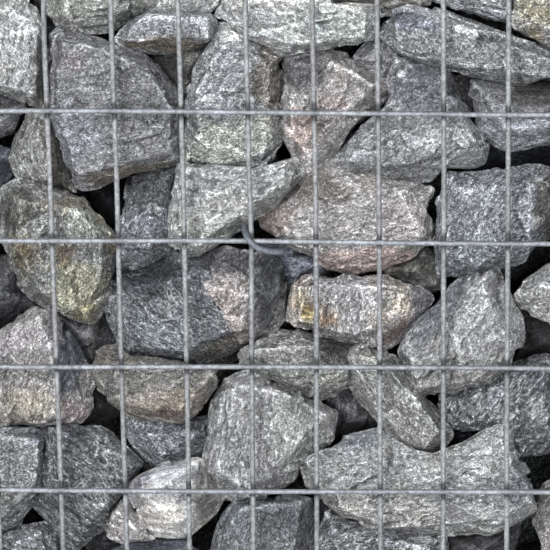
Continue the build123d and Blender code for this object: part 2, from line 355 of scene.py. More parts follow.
        (433, 408), (450, 433), (442, 443), (440, 452), (431, 457), (421, 454), (394, 442),
        (373, 414), (352, 389)]),
    Stone("middle_recess", 0.93, "shaded_recess", 60, 66, [
        (355, 415, 48)], [
        (330, 398), (352, 387), (366, 403), (385, 424), (366, 434), (350, 438), (333, 440),
        (333, 415)]),
    Stone("long_low_slab", 0.95, "pale", 5, 38, [
        (305, 462, 14), (345, 452, 14), (470, 455, 9), (503, 436, 12), (522, 495, 12),
        (498, 522, 12), (380, 524, 12), (312, 490, 14)], [
        (296, 466), (300, 457), (333, 450), (345, 438), (359, 431), (377, 428), (405, 449),
        (433, 457), (464, 445), (501, 421), (508, 429), (526, 473), (534, 508), (514, 522),
        (486, 535), (477, 531), (450, 532), (415, 530), (387, 532), (366, 531), (361, 519),
        (342, 515), (319, 501), (301, 489)]),
    Stone("striped_right", 0.75, "streaked", 60, 52, [
        (465, 400, 28), (540, 372, 22), (545, 430, 24), (470, 418, 30)], [
        (440, 394), (466, 385), (500, 373), (529, 359), (562, 354), (605, 362), (602, 446),
        (540, 452), (520, 454), (500, 425), (486, 428), (464, 430), (446, 426), (440, 405)]),
    Stone("slab_recess", 0.29, "slate", 10, 66, [
        (465, 436, 52)], [
        (446, 426), (488, 422), (476, 446), (450, 455), (444, 440)]),
    Stone("pink_corner", 0.77, "pink", 80, 42, [
        (560, 512, 14), (575, 540, 16)], [
        (548, 482), (575, 470), (606, 482), (610, 560), (600, 592), (560, 580), (550, 562),
        (535, 522), (535, 510), (540, 495)]),
    Stone("streaked_low", 0.9, "streaked", 35, 42, [
        (335, 532, 18), (430, 548, 12), (370, 575, 12)], [
        (312, 562), (314, 540), (326, 511), (361, 520), (366, 531), (387, 533), (442, 532),
        (447, 545), (449, 590), (400, 606), (330, 600)]),
    Stone("brown_low", 0.59, "shaded_recess", 20, 50, [
        (480, 552, 26)], [
        (444, 534), (477, 530), (486, 534), (503, 528), (520, 522), (514, 540), (506, 556),
        (500, 592), (450, 596)]),
]

# Marks painted on the photographed stones, in pixels: middle, half width, half height, lean in
# degrees, and what they multiply the colour by, as one number or as one for each of red, green
# and blue. Many are painted shade where stones lie in shadow and painted highlights on lit edges
# and faces; the others are the stones' own stains, rust and spots
SHADE_LIGHT_AND_STAIN_MARKS = {
    "pale_left": [
        (34, 22, 12, 22, 0, 1.15), (40, 84, 9, 18, 0, 0.8), (42, 62, 10, 30, 0, 0.78),
        (44, 72, 12, 32, 0, 0.62), (12, 18, 34, 16, 0, 1.12), (18, 12, 30, 12, -15, 1.3),
        (40, 80, 9, 28, 0, (0.6, 0.58, 0.56))],
    "green_top": [(74, 6, 30, 16, 0, (1.25, 1.28, 1.22)), (128, 16, 26, 9, 25, (0.5, 0.54, 0.5))],
    "big_grey": [
        (52, 60, 4, 26, 0, 1.3), (152, 62, 28, 4, -44, 1.3), (145, 85, 36, 36, 0, 0.72),
        (74, 136, 24, 28, 0, (1.2, 1.23, 1.3)), (130, 174, 50, 9, 10, (0.8, 0.73, 0.6)),
        (74, 62, 13, 10, 0, (0.97, 0.89, 0.91))],
    "slab_top": [
        (132, 44, 14, 5, 0, 1.2), (172, 45, 44, 7, 0, (0.78, 0.66, 0.52)),
        (168, 23, 44, 8, 0, (1.15, 1.15, 1.2))],
    "under_slab": [(166, 70, 22, 26, 0, (0.32, 0.3, 0.3))],
    "light_slab": [(300, 3, 80, 7, -3, (1.3, 1.3, 1.25)), (330, 28, 70, 22, 0, (0.97, 1.03, 1.0))],
    "middle_boulder": [
        (232, 34, 12, 9, 0, (1.4, 1.4, 1.35)), (205, 99, 20, 3.5, -24, (1.35, 1.35, 1.3)),
        (216, 126, 26, 4, -24, (1.25, 1.25, 1.18)), (231, 37, 16, 7, 0, (1.9, 1.85, 1.8)),
        (270, 78, 17, 40, 0, (0.72, 0.66, 0.58)), (232, 142, 55, 25, 15, (1.3, 1.3, 1.16))],
    "pale_wedge": [
        (205, 176, 34, 12, 0, (0.85, 0.85, 0.86)), (205, 230, 30, 24, 0, (1.1, 1.12, 1.08)),
        (262, 178, 26, 12, 40, (0.85, 0.88, 0.9))],
    "narrow_left": [
        (26, 176, 12, 9, 0, 1.2), (56, 138, 12, 24, 0, 0.66),
        (58, 162, 14, 38, 12, (0.42, 0.4, 0.38)), (24, 172, 12, 12, 0, 1.3)],
    "stained": [
        (94, 226, 18, 20, 0, (1.15, 1.15, 1.12)), (38, 288, 12, 14, 0, 0.75),
        (18, 252, 8, 14, 0, (0.8, 0.76, 0.68)), (16, 208, 20, 24, 0, (0.45, 0.46, 0.44)),
        (86, 224, 26, 18, -35, (1.35, 1.38, 1.32)), (66, 252, 11, 9, 0, (1.12, 0.97, 0.87)),
        (76, 288, 28, 28, 0, (1.4, 1.36, 1.08)), (88, 313, 10, 10, 0, (1.0, 0.97, 0.78)),
        (26, 262, 10, 18, 0, (0.7, 0.68, 0.6))],
    "pink_upper": [
        (301, 68, 21, 23, 0, (0.34, 0.35, 0.37)), (330, 64, 14, 9, 0, (0.75, 0.76, 0.76)),
        (302, 128, 18, 22, 0, (1.2, 1.06, 1.02)), (330, 108, 16, 12, 0, (1.1, 1.0, 1.0))],
    "speckled_middle": [
        (424, 84, 32, 27, 0, (0.55, 0.56, 0.6)), (402, 74, 5, 4, 0, (2.6, 2.5, 2.4)),
        (452, 140, 34, 22, 0, (1.35, 1.36, 1.33))],
    "long_slab": [
        (444, 16, 70, 4, -19, 1.3), (414, 22, 26, 9, -15, (0.7, 0.72, 0.82)),
        (452, 20, 76, 5, -19, 1.5), (500, 72, 60, 6, -10, 1.3)],
    "right_upper": [
        (548, 92, 22, 12, 0, 0.76), (492, 128, 20, 12, 0, 1.15),
        (505, 88, 50, 10, 0, (0.8, 0.8, 0.78)), (546, 94, 46, 14, 0, (0.32, 0.3, 0.28)),
        (520, 132, 46, 14, 5, (1.4, 1.44, 1.5))],
    "ochre_top": [
        (520, 8, 10, 10, 0, 1.2), (514, 26, 9, 9, 40, 0.55),
        (515, 12, 12, 14, 0, (1.35, 1.33, 1.3)), (520, 40, 20, 10, 0, (0.7, 0.7, 0.68)),
        (545, 8, 30, 20, 0, (1.05, 1.02, 0.9))],
    "pink_large": [
        (300, 182, 44, 10, 0, 0.86), (290, 196, 40, 14, 20, 0.86),
        (306, 184, 44, 20, -5, (0.58, 0.55, 0.52)), (272, 216, 20, 26, 0, (0.68, 0.61, 0.57)),
        (370, 262, 60, 15, 0, (1.3, 1.1, 1.05)), (402, 222, 26, 24, 0, (1.12, 1.08, 1.08))],
    "dark_right": [
        (474, 192, 18, 9, 0, (1.5, 1.5, 1.45)), (552, 205, 16, 44, 0, (0.5, 0.46, 0.4)),
        (480, 250, 40, 16, 10, (1.25, 1.28, 1.25))],
    "ridged_left": [
        (52, 330, 14, 26, 0, (0.75, 0.76, 0.8)), (74, 350, 16, 50, -16, (0.34, 0.38, 0.44)),
        (20, 405, 50, 16, 0, (1.15, 1.13, 1.0)), (72, 412, 18, 12, 0, (1.2, 1.1, 1.16)),
        (10, 345, 40, 12, 20, (1.1, 1.08, 1.14))],
    "veined_recess": [(90, 345, 4, 20, 0, (2.2, 2.1, 2.0))],
    "big_dark": [
        (150, 268, 40, 12, 10, 0.86), (140, 266, 40, 14, 15, (0.78, 0.8, 0.82)),
        (150, 270, 50, 14, 0, (0.8, 0.82, 0.84)), (146, 276, 46, 20, 10, (0.4, 0.4, 0.42)),
        (165, 332, 44, 20, -15, (1.3, 1.36, 1.34)), (222, 346, 30, 8, 20, (0.95, 0.86, 0.72)),
        (112, 310, 8, 22, 0, 1.3)],
    "pink_lobe": [
        (274, 276, 14, 24, 0, 0.78), (272, 262, 16, 20, 0, (0.7, 0.7, 0.72)),
        (268, 288, 19, 50, 0, (0.36, 0.39, 0.42)), (200, 262, 20, 12, 0, (0.7, 0.7, 0.72)),
        (224, 302, 26, 30, 0, (1.16, 1.11, 1.1)), (226, 260, 40, 14, 0, (0.4, 0.42, 0.45))],
    "brown_oval": [
        (165, 404, 50, 16, 0, (1.18, 1.1, 1.02)), (170, 414, 12, 5, 0, (0.6, 0.5, 0.5)),
        (104, 360, 12, 14, 0, (0.8, 0.76, 0.72)), (150, 355, 60, 8, 0, 0.75)],
    "left_lower": [
        (10, 492, 22, 12, 0, (1.2, 1.18, 1.12)), (38, 436, 10, 10, 0, (0.7, 0.72, 0.76))],
    "striped_dark": [
        (114, 498, 22, 22, 0, 1.18), (118, 452, 26, 12, -35, 1.3),
        (66, 440, 22, 14, 0, (0.7, 0.7, 0.72)), (103, 506, 22, 26, 0, (1.4, 1.39, 1.35))],
    "quartz": [
        (208, 494, 17, 30, 0, (0.48, 0.47, 0.45)), (162, 520, 40, 20, 0, (1.35, 1.32, 1.26)),
        (142, 480, 12, 6, 35, (0.5, 0.5, 0.55)), (172, 472, 36, 11, 0, (0.78, 0.79, 0.81))],
    "rough_pale": [
        (296, 398, 28, 11, -20, 0.86), (228, 440, 14, 50, 10, (0.85, 0.88, 0.88)),
        (295, 430, 24, 40, 0, (1.1, 1.15, 1.1)), (306, 406, 26, 12, 0, (0.75, 0.75, 0.76))],
    "rusty_pale": [
        (322, 314, 26, 12, -15, (0.96, 0.9, 0.82)), (396, 296, 14, 16, 0, (1.2, 1.18, 1.1)),
        (308, 315, 9, 9, 0, (1.0, 0.9, 0.56)), (326, 318, 13, 8, 0, (0.9, 0.74, 0.64)),
        (405, 307, 7, 15, 10, (1.35, 1.28, 1.16)), (392, 335, 24, 7, 35, (0.5, 0.43, 0.41)),
        (424, 298, 14, 12, 0, (0.5, 0.5, 0.53)), (340, 284, 30, 6, 0, (1.2, 1.2, 1.22)),
        (385, 322, 24, 14, 15, (1.2, 1.16, 1.12))],
    "ridged_light": [
        (500, 330, 16, 26, 0, 1.12), (424, 346, 14, 26, 0, 0.86),
        (436, 314, 52, 15, 52, (0.58, 0.6, 0.64)), (472, 312, 46, 10, 62, (1.28, 1.28, 1.31)),
        (500, 300, 10, 30, 0, (0.8, 0.8, 0.82)), (470, 374, 50, 10, 15, (1.1, 1.08, 1.04))],
    "diagonal": [
        (428, 396, 9, 18, 45, 0.76), (368, 368, 20, 13, -50, 1.25),
        (396, 372, 16, 14, 0, (0.75, 0.75, 0.77)), (440, 420, 9, 22, 40, (0.8, 0.8, 0.82))],
    "long_low_slab": [
        (352, 442, 28, 12, 15, (0.8, 0.83, 0.88)), (520, 480, 12, 34, -10, (0.85, 0.87, 0.92)),
        (490, 448, 26, 16, 30, 1.2), (380, 512, 90, 12, 0, (1.15, 1.13, 1.1)),
        (470, 500, 40, 14, 30, (0.85, 0.86, 0.9)), (370, 440, 20, 10, 20, (0.8, 0.82, 0.86))],
    "striped_right": [(500, 400, 20, 30, 0, 1.2), (550, 380, 28, 16, 0, (0.6, 0.6, 0.63))],
    "bottom_boulder": [
        (240, 540, 20, 14, 0, 1.18), (300, 538, 20, 16, 0, 0.82),
        (240, 515, 26, 16, 30, (1.2, 1.25, 1.25)), (290, 515, 20, 20, 0, (0.7, 0.7, 0.72))],
    "dark_wedge": [
        (172, 226, 12, 22, 0, 1.25), (170, 234, 14, 14, 0, 1.25),
        (142, 196, 22, 16, 0, (0.72, 0.72, 0.7)), (142, 226, 22, 16, 0, (1.2, 1.2, 1.24)),
        (150, 184, 32, 15, 0, 0.6)],
    "left_edge_upper": [(6, 108, 30, 8, 0, 0.78), (0, 99, 40, 9, 0, 0.6)],
    "dark_under": [
        (192, 426, 20, 12, 0, 0.75), (180, 424, 34, 10, 0, (0.8, 0.8, 0.82)),
        (196, 422, 26, 10, 0, (0.55, 0.55, 0.57))],
    "bottom_dark": [
        (155, 541, 50, 4, 0, 0.6), (170, 548, 24, 8, 0, (1.2, 1.2, 1.15)),
        (135, 547, 40, 9, 0, 0.55)],
    "green_oval": [
        (324, 376, 24, 9, -15, 1.15), (334, 340, 22, 11, 0, 0.7),
        (322, 378, 26, 9, -15, (1.25, 1.25, 1.2)), (330, 342, 22, 10, 0, 0.75),
        (342, 352, 28, 13, 0, 0.36)],
    "pink_corner": [(560, 490, 40, 15, 0, 0.6), (548, 545, 12, 20, 0, (1.3, 1.26, 1.26))],
    "streaked_low": [(338, 528, 24, 9, 10, 0.6)],
    "brown_low": [(456, 532, 16, 7, 0, 0.65), (456, 538, 18, 8, 0, 0.6)],
    "middle_recess": [
        (370, 430, 20, 12, 0, 0.6), (350, 398, 20, 9, 0, 1.2), (368, 432, 18, 11, 0, 0.55),
        (352, 400, 24, 11, 0, 1.7), (352, 431, 26, 10, 0, 0.45)],
    "behind_hook": [
        (270, 256, 12, 9, 0, 0.7), (304, 270, 16, 20, 0, (1.9, 1.85, 1.8)),
        (270, 250, 12, 10, 0, 0.5)],
    "right_recess": [
        (512, 350, 12, 12, 0, 1.25), (514, 350, 12, 12, 0, 1.35), (555, 354, 34, 9, 0, 0.45)],
    "small_recess": [(42, 512, 11, 9, 0, 0.45), (46, 514, 10, 8, 0, 0.35)],
    "left_edge_lower": [(0, 155, 40, 8, 0, 1.5), (0, 190, 30, 9, 0, 0.55)],
    "left_recess": [(8, 268, 24, 14, 0, (1.4, 1.36, 1.3)), (30, 300, 16, 20, 0, 0.6)],
    "brown_gap": [(456, 84, 14, 12, 0, (1.4, 1.36, 1.3))],
    "small_upper": [(368, 52, 14, 9, 0, 1.2), (392, 50, 12, 8, 0, 0.8)],
    "striped_pale": [
        (12, 540, 20, 16, 0, 1.2), (54, 546, 12, 9, 0, 0.75), (50, 532, 14, 14, 0, 0.7)],
    "right_speckled": [(540, 280, 20, 10, 0, (0.82, 0.84, 0.88))],
    "deep_right": [(500, 166, 14, 10, 0, 0.7)],
    "brown_under": [(114, 418, 14, 12, 0, 0.5), (114, 416, 12, 12, 0, 0.5)],
    "slab_recess": [(463, 436, 40, 30, 0, (0.95, 0.98, 1.08))],
    "beige": [(146, 512, 10, 12, 0, 1.2), (120, 506, 12, 12, 0, 0.75)],
    "blue_recess": [(402, 276, 14, 9, 0, 0.5)],
}

# A mark's uneven rim: the size of its waves in millimetres, and how far they go. Beyond MARK_END
# times its size nothing of a mark is left, and it is full MARK_FADE further in
MARK_WAVES = [(11, 0.3), (5, 0.2)]
MARK_END = 1.2
MARK_FADE = 0.5

# How far the photographed outlines are drawn outward, in pixels, for what their worn edges lose
OUTLINE_GROWTH = 2.6
# The photographed stones' thickness in millimetres, and how large their back is beside the front
PHOTO_THICKNESS = 48.0
PHOTO_BACK = 0.72
# How much their colour and traits stray, beside the other stones
PHOTO_STRAY = 0.15
# The room that only they fill: its margin round the picture in pixels, and its depth
STRETCH_MARGIN = 14
STRETCH_DEPTH = 104.0
# What keeps the other stones out of a photographed one: large blockers in its middle and small
# ones part of the way to its rim, with depths behind the rim and radii as shares of its size
MIDDLE_DEPTHS = (10, 45)
MIDDLE_SIZE = 0.75
RIM_DEPTH = 20
RIM_WAY = 0.6
RIM_SIZE = 0.4

# Stones of the rest of the wall: radii that fill it, from the largest down, with the number of
# tries for each, in a space that is stretched so that stones lie flat
STRETCH = np.array([1.2, 1.05, 0.86])
RADII = [(60, 400), (51, 1500), (43, 3000), (36, 6000), (30, 9000)]
MOST_STONES = 6000
# How near the middles of two stones may be, and a stone's to the mesh and to a rod, as shares of
# their radii
PACKING = 0.86
SIDE_ROOM = 0.35
ROD_ROOM = 0.75
# The room left between two stones, inside the mesh and round a rod
STONE_GAP = 2.5
SKIN = 3.5
ROD_CLEARANCE = 7.0
# How many neighbours shape a stone, and how near they, the mesh, a rod and the photographed room
# have to be for that, in its radii
NEIGHBOURS = 18
NEAR_STONE = 2.4
NEAR_MESH = 1.15
NEAR_ROD = 1.8
NEAR_PHOTO = 2
# Leaning planes at each near side of the mesh: how many, how much they lean, and how far inward
LEANING = 2
LEAN = 0.3
LEAN_ROOM = 0.98
LEAN_INWARD = (-4, 6)
# Planes that cut corners off: how many, and how far out, in radii
CUTS = 6
CUT_ROOM = (0.95, 1.5)
# How near a face a stone's middle has to be for the stone to show, in its radii
SHOWN = 1.25
# How far from the basket's inner sides all of a stone stays
INSET = 0.5
# How rough a surface is beside the photographed stones, and how far the grain turns, in degrees
FILL_RELIEF = 1.2
GRAIN_STRAY = 30
# How many of each kind there are among every 42 of them
KIND_SHARES = {
    "grey": 6, "mid": 4, "blue": 4, "green": 4, "pale": 5, "dark": 4,
    "streaked": 4, "brown": 3, "pink": 3, "mossy": 2, "rusty": 2, "quartz": 1,
}

# The longest sides of a stone's triangles, where it shows and where it doesn't
PHOTO_SIDES = (3.7, 24.0)
FILL_SIDES = (15.5, 48.0)
MOST_HALVINGS = 8
PAST_EDGE = 0.15
# A broken surface: lumps, as their size, how much they are squeezed across the grain, and height
LUMPS = [(40, 1.8, 0.8), (8, 2, 0.5)]
# Its flat patches, as how far apart they are, how much they tilt, and how they step. They are
# longer along the grain, and those that a coarse mesh can't show are left out
CRAGS = [(32, 0.09, 0.5), (13, 0.13, 0.25)]
CRAG_GRAIN = (0.6, 1, 1)
CRAG_LEAST = 1.5
# How many patches there are for each square of that spacing on the stone's box, and how many more
CRAG_SHARE = 0.6
CRAGS_MORE = 4
SURFACE_LIMITS = (-5, 2.5)
# Chips off the worn edges: their size and depth
CHIP_SIZE = 11
CHIP_DEPTH = 1.6
# How sharply bulges count as edges and as wear, and how much more an edge is worn. The wear
# value also paints highlight on bulges and edges and shade in hollows
EDGE_GAIN = 3.0
BULGE_GAIN = 5.0
EDGE_WEAR_AND_HIGHLIGHT = 1.1

# Large numbers that scatter the cells, the seed and the bits of the noise
CELL_HASH = (73856093, 19349663, 83492791)
SEED_HASH = 2654435761
BIT_HASH = (1274126177, 668265263)


def noise(points, seed):
    """Smooth noise between -1 and 1, in cells of one unit."""
    base = np.floor(points).astype(np.int64)
    part = points - base
    part = part * part * (3 - 2 * part)
    total = np.zeros(len(points))
    for corner in product((0, 1), repeat=3):
        cell = base + corner
        mix = np.bitwise_xor.reduce(cell * CELL_HASH, axis=1) ^ seed * SEED_HASH
        mix = (mix ^ (mix >> 13)) * BIT_HASH[0] & 0x7FFFFFFF
        mix = (mix ^ (mix >> 16)) * BIT_HASH[1] & 0x7FFFFFFF
        value = (mix >> 7 & 0xFFFF) / 32767.5 - 1
        total += value * np.prod(np.where(corner, part, 1 - part), axis=1)
    return total


def grain_axes(normal, lean):
    """Three axes with the grain's long way first: it lies in the face, turned by lean degrees."""
    out = np.array(normal, float)
    out /= np.linalg.norm(out)
    level = np.cross((0, 0, 1.0), out)
    if np.linalg.norm(level) < 0.1:
        level = np.array((1.0, 0, 0))
    level /= np.linalg.norm(level)
    level = -level if out[Y] > 0.5 else level
    rise = np.cross(out, level)
    rise = rise if rise[Z] >= 0 else -rise
    along = cos(radians(lean)) * level + sin(radians(lean)) * rise
    return np.array([along, np.cross(out, along), out])


# How much stones of one kind differ in shade, in hue and in traits
SHADE_STRAY = 0.07
HUE_STRAY = 0.008
TRAIT_STRAY = 0.25
DISPLAY_GAMMA = 2.2


class StoneHeap:
    """Stones gathered into one mesh, with what the material needs to know at each vertex."""

    def __init__(self, name):
        self.name = name
        self.vertices = []
        self.faces = []
        self.count = 0
        self.grain = []
        self.tint = []
        self.traits = []
        self.wear_highlight_and_shade = []

    def add(self, vertices, faces, wear_highlight_and_shade, rock, axes, rng, stray=1.0, paint=1.0):
        local = (vertices - vertices.mean(0)) @ axes.T
        shade = 1 + SHADE_STRAY * stray * rng.standard_normal()
        hue = 1 + HUE_STRAY * stray * rng.standard_normal(3)
        colour = (np.array(rock.colour) * shade * hue).clip(0.05, 0.9) ** DISPLAY_GAMMA
        self.vertices.append(vertices)
        self.faces.append(faces + self.count)
        self.count += len(vertices)
        self.grain.append(local / 100 + rng.uniform(-50, 50, 3))
        tint = np.ones((len(vertices), 4))
        tint[:, :3] = colour * paint
        self.tint.append(tint)
        trait = [rock.banding, rock.fleck, rock.stain, rock.vein]
        trait = np.array(trait) * (1 + TRAIT_STRAY * stray * rng.uniform(-1, 1, 4))
        self.traits.append(np.tile(trait, (len(vertices), 1)))
        self.wear_highlight_and_shade.append(wear_highlight_and_shade)

    def build(self, material, node):
        mesh = new_mesh(self.name, self.vertices, np.concatenate(self.faces).tolist())
        give(mesh, "grain", "FLOAT_VECTOR", "vector", self.grain)
        give(mesh, "tint", "FLOAT_COLOR", "color", self.tint)
        give(mesh, "traits", "FLOAT_COLOR", "color", self.traits)
        give(mesh, "wear_highlight_and_shade", "FLOAT", "value", self.wear_highlight_and_shade)
        add_piece(mesh, material, node)


def new_mesh(name, vertices, faces):
    """A smooth-shaded mesh from arrays of points in millimetres and lists of corners."""
    mesh = bpy.data.meshes.new(name)
    mesh.from_pydata((np.concatenate(vertices) * MM).tolist(), [], faces)
    mesh.update()
    mesh.shade_smooth()
    return mesh


def give(mesh, name, kind, field, values):
    """A value for each point of a mesh, which its material reads by name."""
    data = mesh.attributes.new(name, kind, "POINT").data
    data.foreach_set(field, np.concatenate(values).astype(np.float32).ravel())


def add_piece(mesh, material, node):
    """A visible piece in place of a CAD node."""
    piece = bpy.data.objects.new(mesh.name, mesh)
    bpy.context.scene.collection.objects.link(piece)
    mesh.materials.append(material)
    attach(piece, "root")
    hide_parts(node)


def hull(corners):
    """The convex hull of some points: its own points, and its triangles."""
    solid = bmesh.new()
    for corner in corners:
        solid.verts.new(corner)
    made = bmesh.ops.convex_hull(solid, input=solid.verts[:])
    inside = list(set(made["geom_interior"] + made["geom_unused"]))
    bmesh.ops.delete(solid, geom=inside, context="VERTS")
    solid.verts.index_update()
    points = np.array([vert.co for vert in solid.verts])
    faces = np.array([[vert.index for vert in face.verts] for face in solid.faces])
    solid.free()
    return points, faces


def face_normals(points, faces):
    """Each triangle's normal, as long as twice its area."""
    a, b, c = points[faces[:, 0]], points[faces[:, 1]], points[faces[:, 2]]
    return np.cross(b - a, c - a)


def side_pairs(faces):
    """The triangles' sides as pairs of points: each pair once, and which pair each side is."""
    pairs = np.sort(faces[:, [[0, 1], [1, 2], [2, 0]]], axis=2)
    keys = pairs[..., 0] * (faces.max() + 1) + pairs[..., 1]
    _, first, which = np.unique(keys, return_index=True, return_inverse=True)
    return pairs.reshape(-1, 2)[first], which.reshape(-1, 3)


def refine(points, faces, facing, fine, coarse):
    """Halves the long sides until they are short: finer where the faces point along facing.

    Faces that turn a little past its edge are fine too, so that no coarse one shows there.
    """
    for _ in range(MOST_HALVINGS):
        normals = face_normals(points, faces)
        shows = normals @ facing > -PAST_EDGE * np.linalg.norm(normals, axis=1)
        limit = np.where(shows, fine, coarse)[:, None]
        pairs, which = side_pairs(faces)
        lengths = np.linalg.norm(points[pairs[:, 0]] - points[pairs[:, 1]], axis=1)
        halved = np.zeros(len(pairs), bool)
        halved[which[lengths[which] > limit]] = True
        if not halved.any():
            break
        middle = np.full(len(pairs), -1)
        middle[halved] = len(points) + np.arange(halved.sum())
        points = np.concatenate([points, points[pairs[halved]].mean(1)])
        middles = middle[which]
        count = (middles >= 0).sum(1)
        kept = [faces[count == 0]]
        for turn in range(3):
            a, b, c = np.roll(faces, -turn, axis=1).T
            ab, bc, ca = np.roll(middles, -turn, axis=1).T
            one = (count == 1) & (ab >= 0)
            for corner in ((a, ab, c), (ab, b, c)):
                kept.append(np.stack(corner, 1)[one])
            two = (count == 2) & (ca < 0)
            for corner in ((ab, b, bc), (a, ab, bc), (a, bc, c)):
                kept.append(np.stack(corner, 1)[two])
        a, b, c = faces.T
        ab, bc, ca = middles.T
        three = count == 3
        for corner in ((a, ab, ca), (ab, b, bc), (ca, bc, c), (ab, bc, ca)):
            kept.append(np.stack(corner, 1)[three])
        faces = np.concatenate(kept)
    return points, faces


def sums(places, values, count):
    """Adds up rows of values by place."""
    return np.stack([np.bincount(places, column, count) for column in values.T], axis=1)


def around(points, pairs):
    """The middle of each point's neighbours."""
    both = np.concatenate([pairs, pairs[:, ::-1]])
    share = np.bincount(both[:, 0], minlength=len(points))
    return sums(both[:, 0], points[both[:, 1]], len(points)) / share[:, None]


def point_normals(points, faces):
    """The direction that the surface faces at each point."""
    flat = face_normals(points, faces)
    total = sum(sums(faces[:, corner], flat, len(points)) for corner in range(3))
    return total / np.maximum(np.linalg.norm(total, axis=1), 1e-9)[:, None]


def crags(points, spacing, tilt, step, rng):
    """Heights of a broken surface: flat patches so far apart, each with its own tilt and step."""
    spans = np.ptp(points, axis=0)
    area = 2 * (spans[0] * spans[1] + spans[1] * spans[2] + spans[2] * spans[0])
    count = int(CRAG_SHARE * area / spacing ** 2) + CRAGS_MORE
    seeds = points[rng.integers(len(points), size=count)]
    nearest = (-2 * points @ seeds.T + (seeds ** 2).sum(1)).argmin(1)
    tilts = rng.normal(0, tilt, (count, 3))
    steps = rng.normal(0, step, count)
    return steps[nearest] + ((points - seeds[nearest]) * tilts[nearest]).sum(1)


def carve(corners, facing, longest, axes, relief, seed, keep=None):
    """A broken rock from its corner points: hull, finer mesh, worn edges and a rough surface.

    Faces that point along facing get the fine mesh. A photographed stone also has a function
    that keeps its points inside its outline.
    """
    points, faces = hull(corners)
    fine, coarse = longest
    points, faces = refine(points, faces, np.array(facing), fine, coarse)
    pairs = side_pairs(faces)[0]
    points = (points + around(points, pairs)) / 2
    normals = point_normals(points, faces)
    bulge = ((points - around(points, pairs)) * normals).sum(1)
    edge = (bulge / fine * EDGE_GAIN).clip(0, 1)
    if keep:
        points = keep(points)
    local = points @ axes.T
    rng = np.random.default_rng(seed)
    rough = np.zeros(len(points))
    for place, (size, squeeze, height) in enumerate(LUMPS):
        rough += height * noise(local * (1, squeeze, squeeze) / size, seed + place)
    for spacing, tilt, step in CRAGS:
        if spacing > CRAG_LEAST * fine:
            rough += crags(local * CRAG_GRAIN, spacing, tilt, step, rng)
    chips = CHIP_DEPTH * edge * noise(local / CHIP_SIZE, seed + 4).clip(0, 1)
    points = points + normals * (relief * rough.clip(*SURFACE_LIMITS) - chips)[:, None]
    normals = point_normals(points, faces)
    bulge = ((points - around(points, pairs)) * normals).sum(1)
    # The wear value is bright on bulges and edges and dark in hollows: worn edges together with
    # painted highlight on the edges and painted shade in the hollows
    return points, faces, (bulge / fine * BULGE_GAIN).clip(-1, 1) + EDGE_WEAR_AND_HIGHLIGHT * edge


def grown_outline(stone):
    """A photographed outline in pixels, drawn larger by what its worn edges lose."""
    outline = np.array(stone.outline, float)
    ways = outline - outline.mean(0)
    return outline + OUTLINE_GROWTH * ways / np.linalg.norm(ways, axis=1)[:, None]


def photo_outline(rim):
    """Gives a function that keeps points inside a rim, as the photograph's camera sees it."""
    flat = (rim - eye) @ view_axes.T
    flat = flat[:, :2] / -flat[:, 2:]
    middle = flat.mean(0)
    spokes = flat - middle
    angles = np.arctan2(spokes[:, 1], spokes[:, 0])
    order = np.argsort(angles)
    angles, spokes = angles[order], spokes[order]
    angles = np.concatenate([angles[-1:] - 2 * pi, angles, angles[:1] + 2 * pi])
    spokes = np.concatenate([spokes[-1:], spokes, spokes[:1]])
    turns = np.linspace(-pi, pi, 721)
    after = np.searchsorted(angles, turns).clip(1, len(angles) - 1)
    start, end = spokes[after - 1], spokes[after]
    run = end - start
    heading = np.stack([np.cos(turns), np.sin(turns)], axis=1)
    across = heading[:, 0] * run[:, 1] - heading[:, 1] * run[:, 0]
    reach = (start[:, 0] * run[:, 1] - start[:, 1] * run[:, 0]) / across

    def keep(points):
        seen = (points - eye) @ view_axes.T
        scale = -seen[:, 2:]
        offset = seen[:, :2] / scale - middle
        length = np.linalg.norm(offset, axis=1)
        limit = np.interp(np.arctan2(offset[:, 1], offset[:, 0]), turns, reach)
        offset *= np.minimum(1, limit / np.maximum(length, 1e-9))[:, None]
        seen[:, :2] = (offset + middle) * scale
        return seen @ view_axes + eye

    return keep


def painted(points, marks, seed):
    """What the marks of painted shade, highlight and stain multiply the colour by, with uneven
    rims.
    """
    seen = (points - eye) @ view_axes.T
    px = PHOTO_SIZE / 2 - focal_pixels * seen[:, 0] / seen[:, 2]
    py = PHOTO_SIZE / 2 + focal_pixels * seen[:, 1] / seen[:, 2]
    uneven = np.zeros(len(points))
    for place, (size, height) in enumerate(MARK_WAVES):
        uneven += height * noise(points / size, seed + place)
    paint = np.ones((len(points), 3))
    for mark_x, mark_y, half_width, half_height, lean, factor in marks:
        turn = radians(lean)
        right, down = px - mark_x, py - mark_y
        along = (right * cos(turn) - down * sin(turn)) / half_width
        across = (right * sin(turn) + down * cos(turn)) / half_height
        reach = np.sqrt(along ** 2 + across ** 2) + uneven
        share = ((MARK_END - reach) / MARK_FADE).clip(0, 1)
        share = share * share * (3 - 2 * share)
        paint *= 1 + share[:, None] * (np.array(factor) - 1)
    return paint


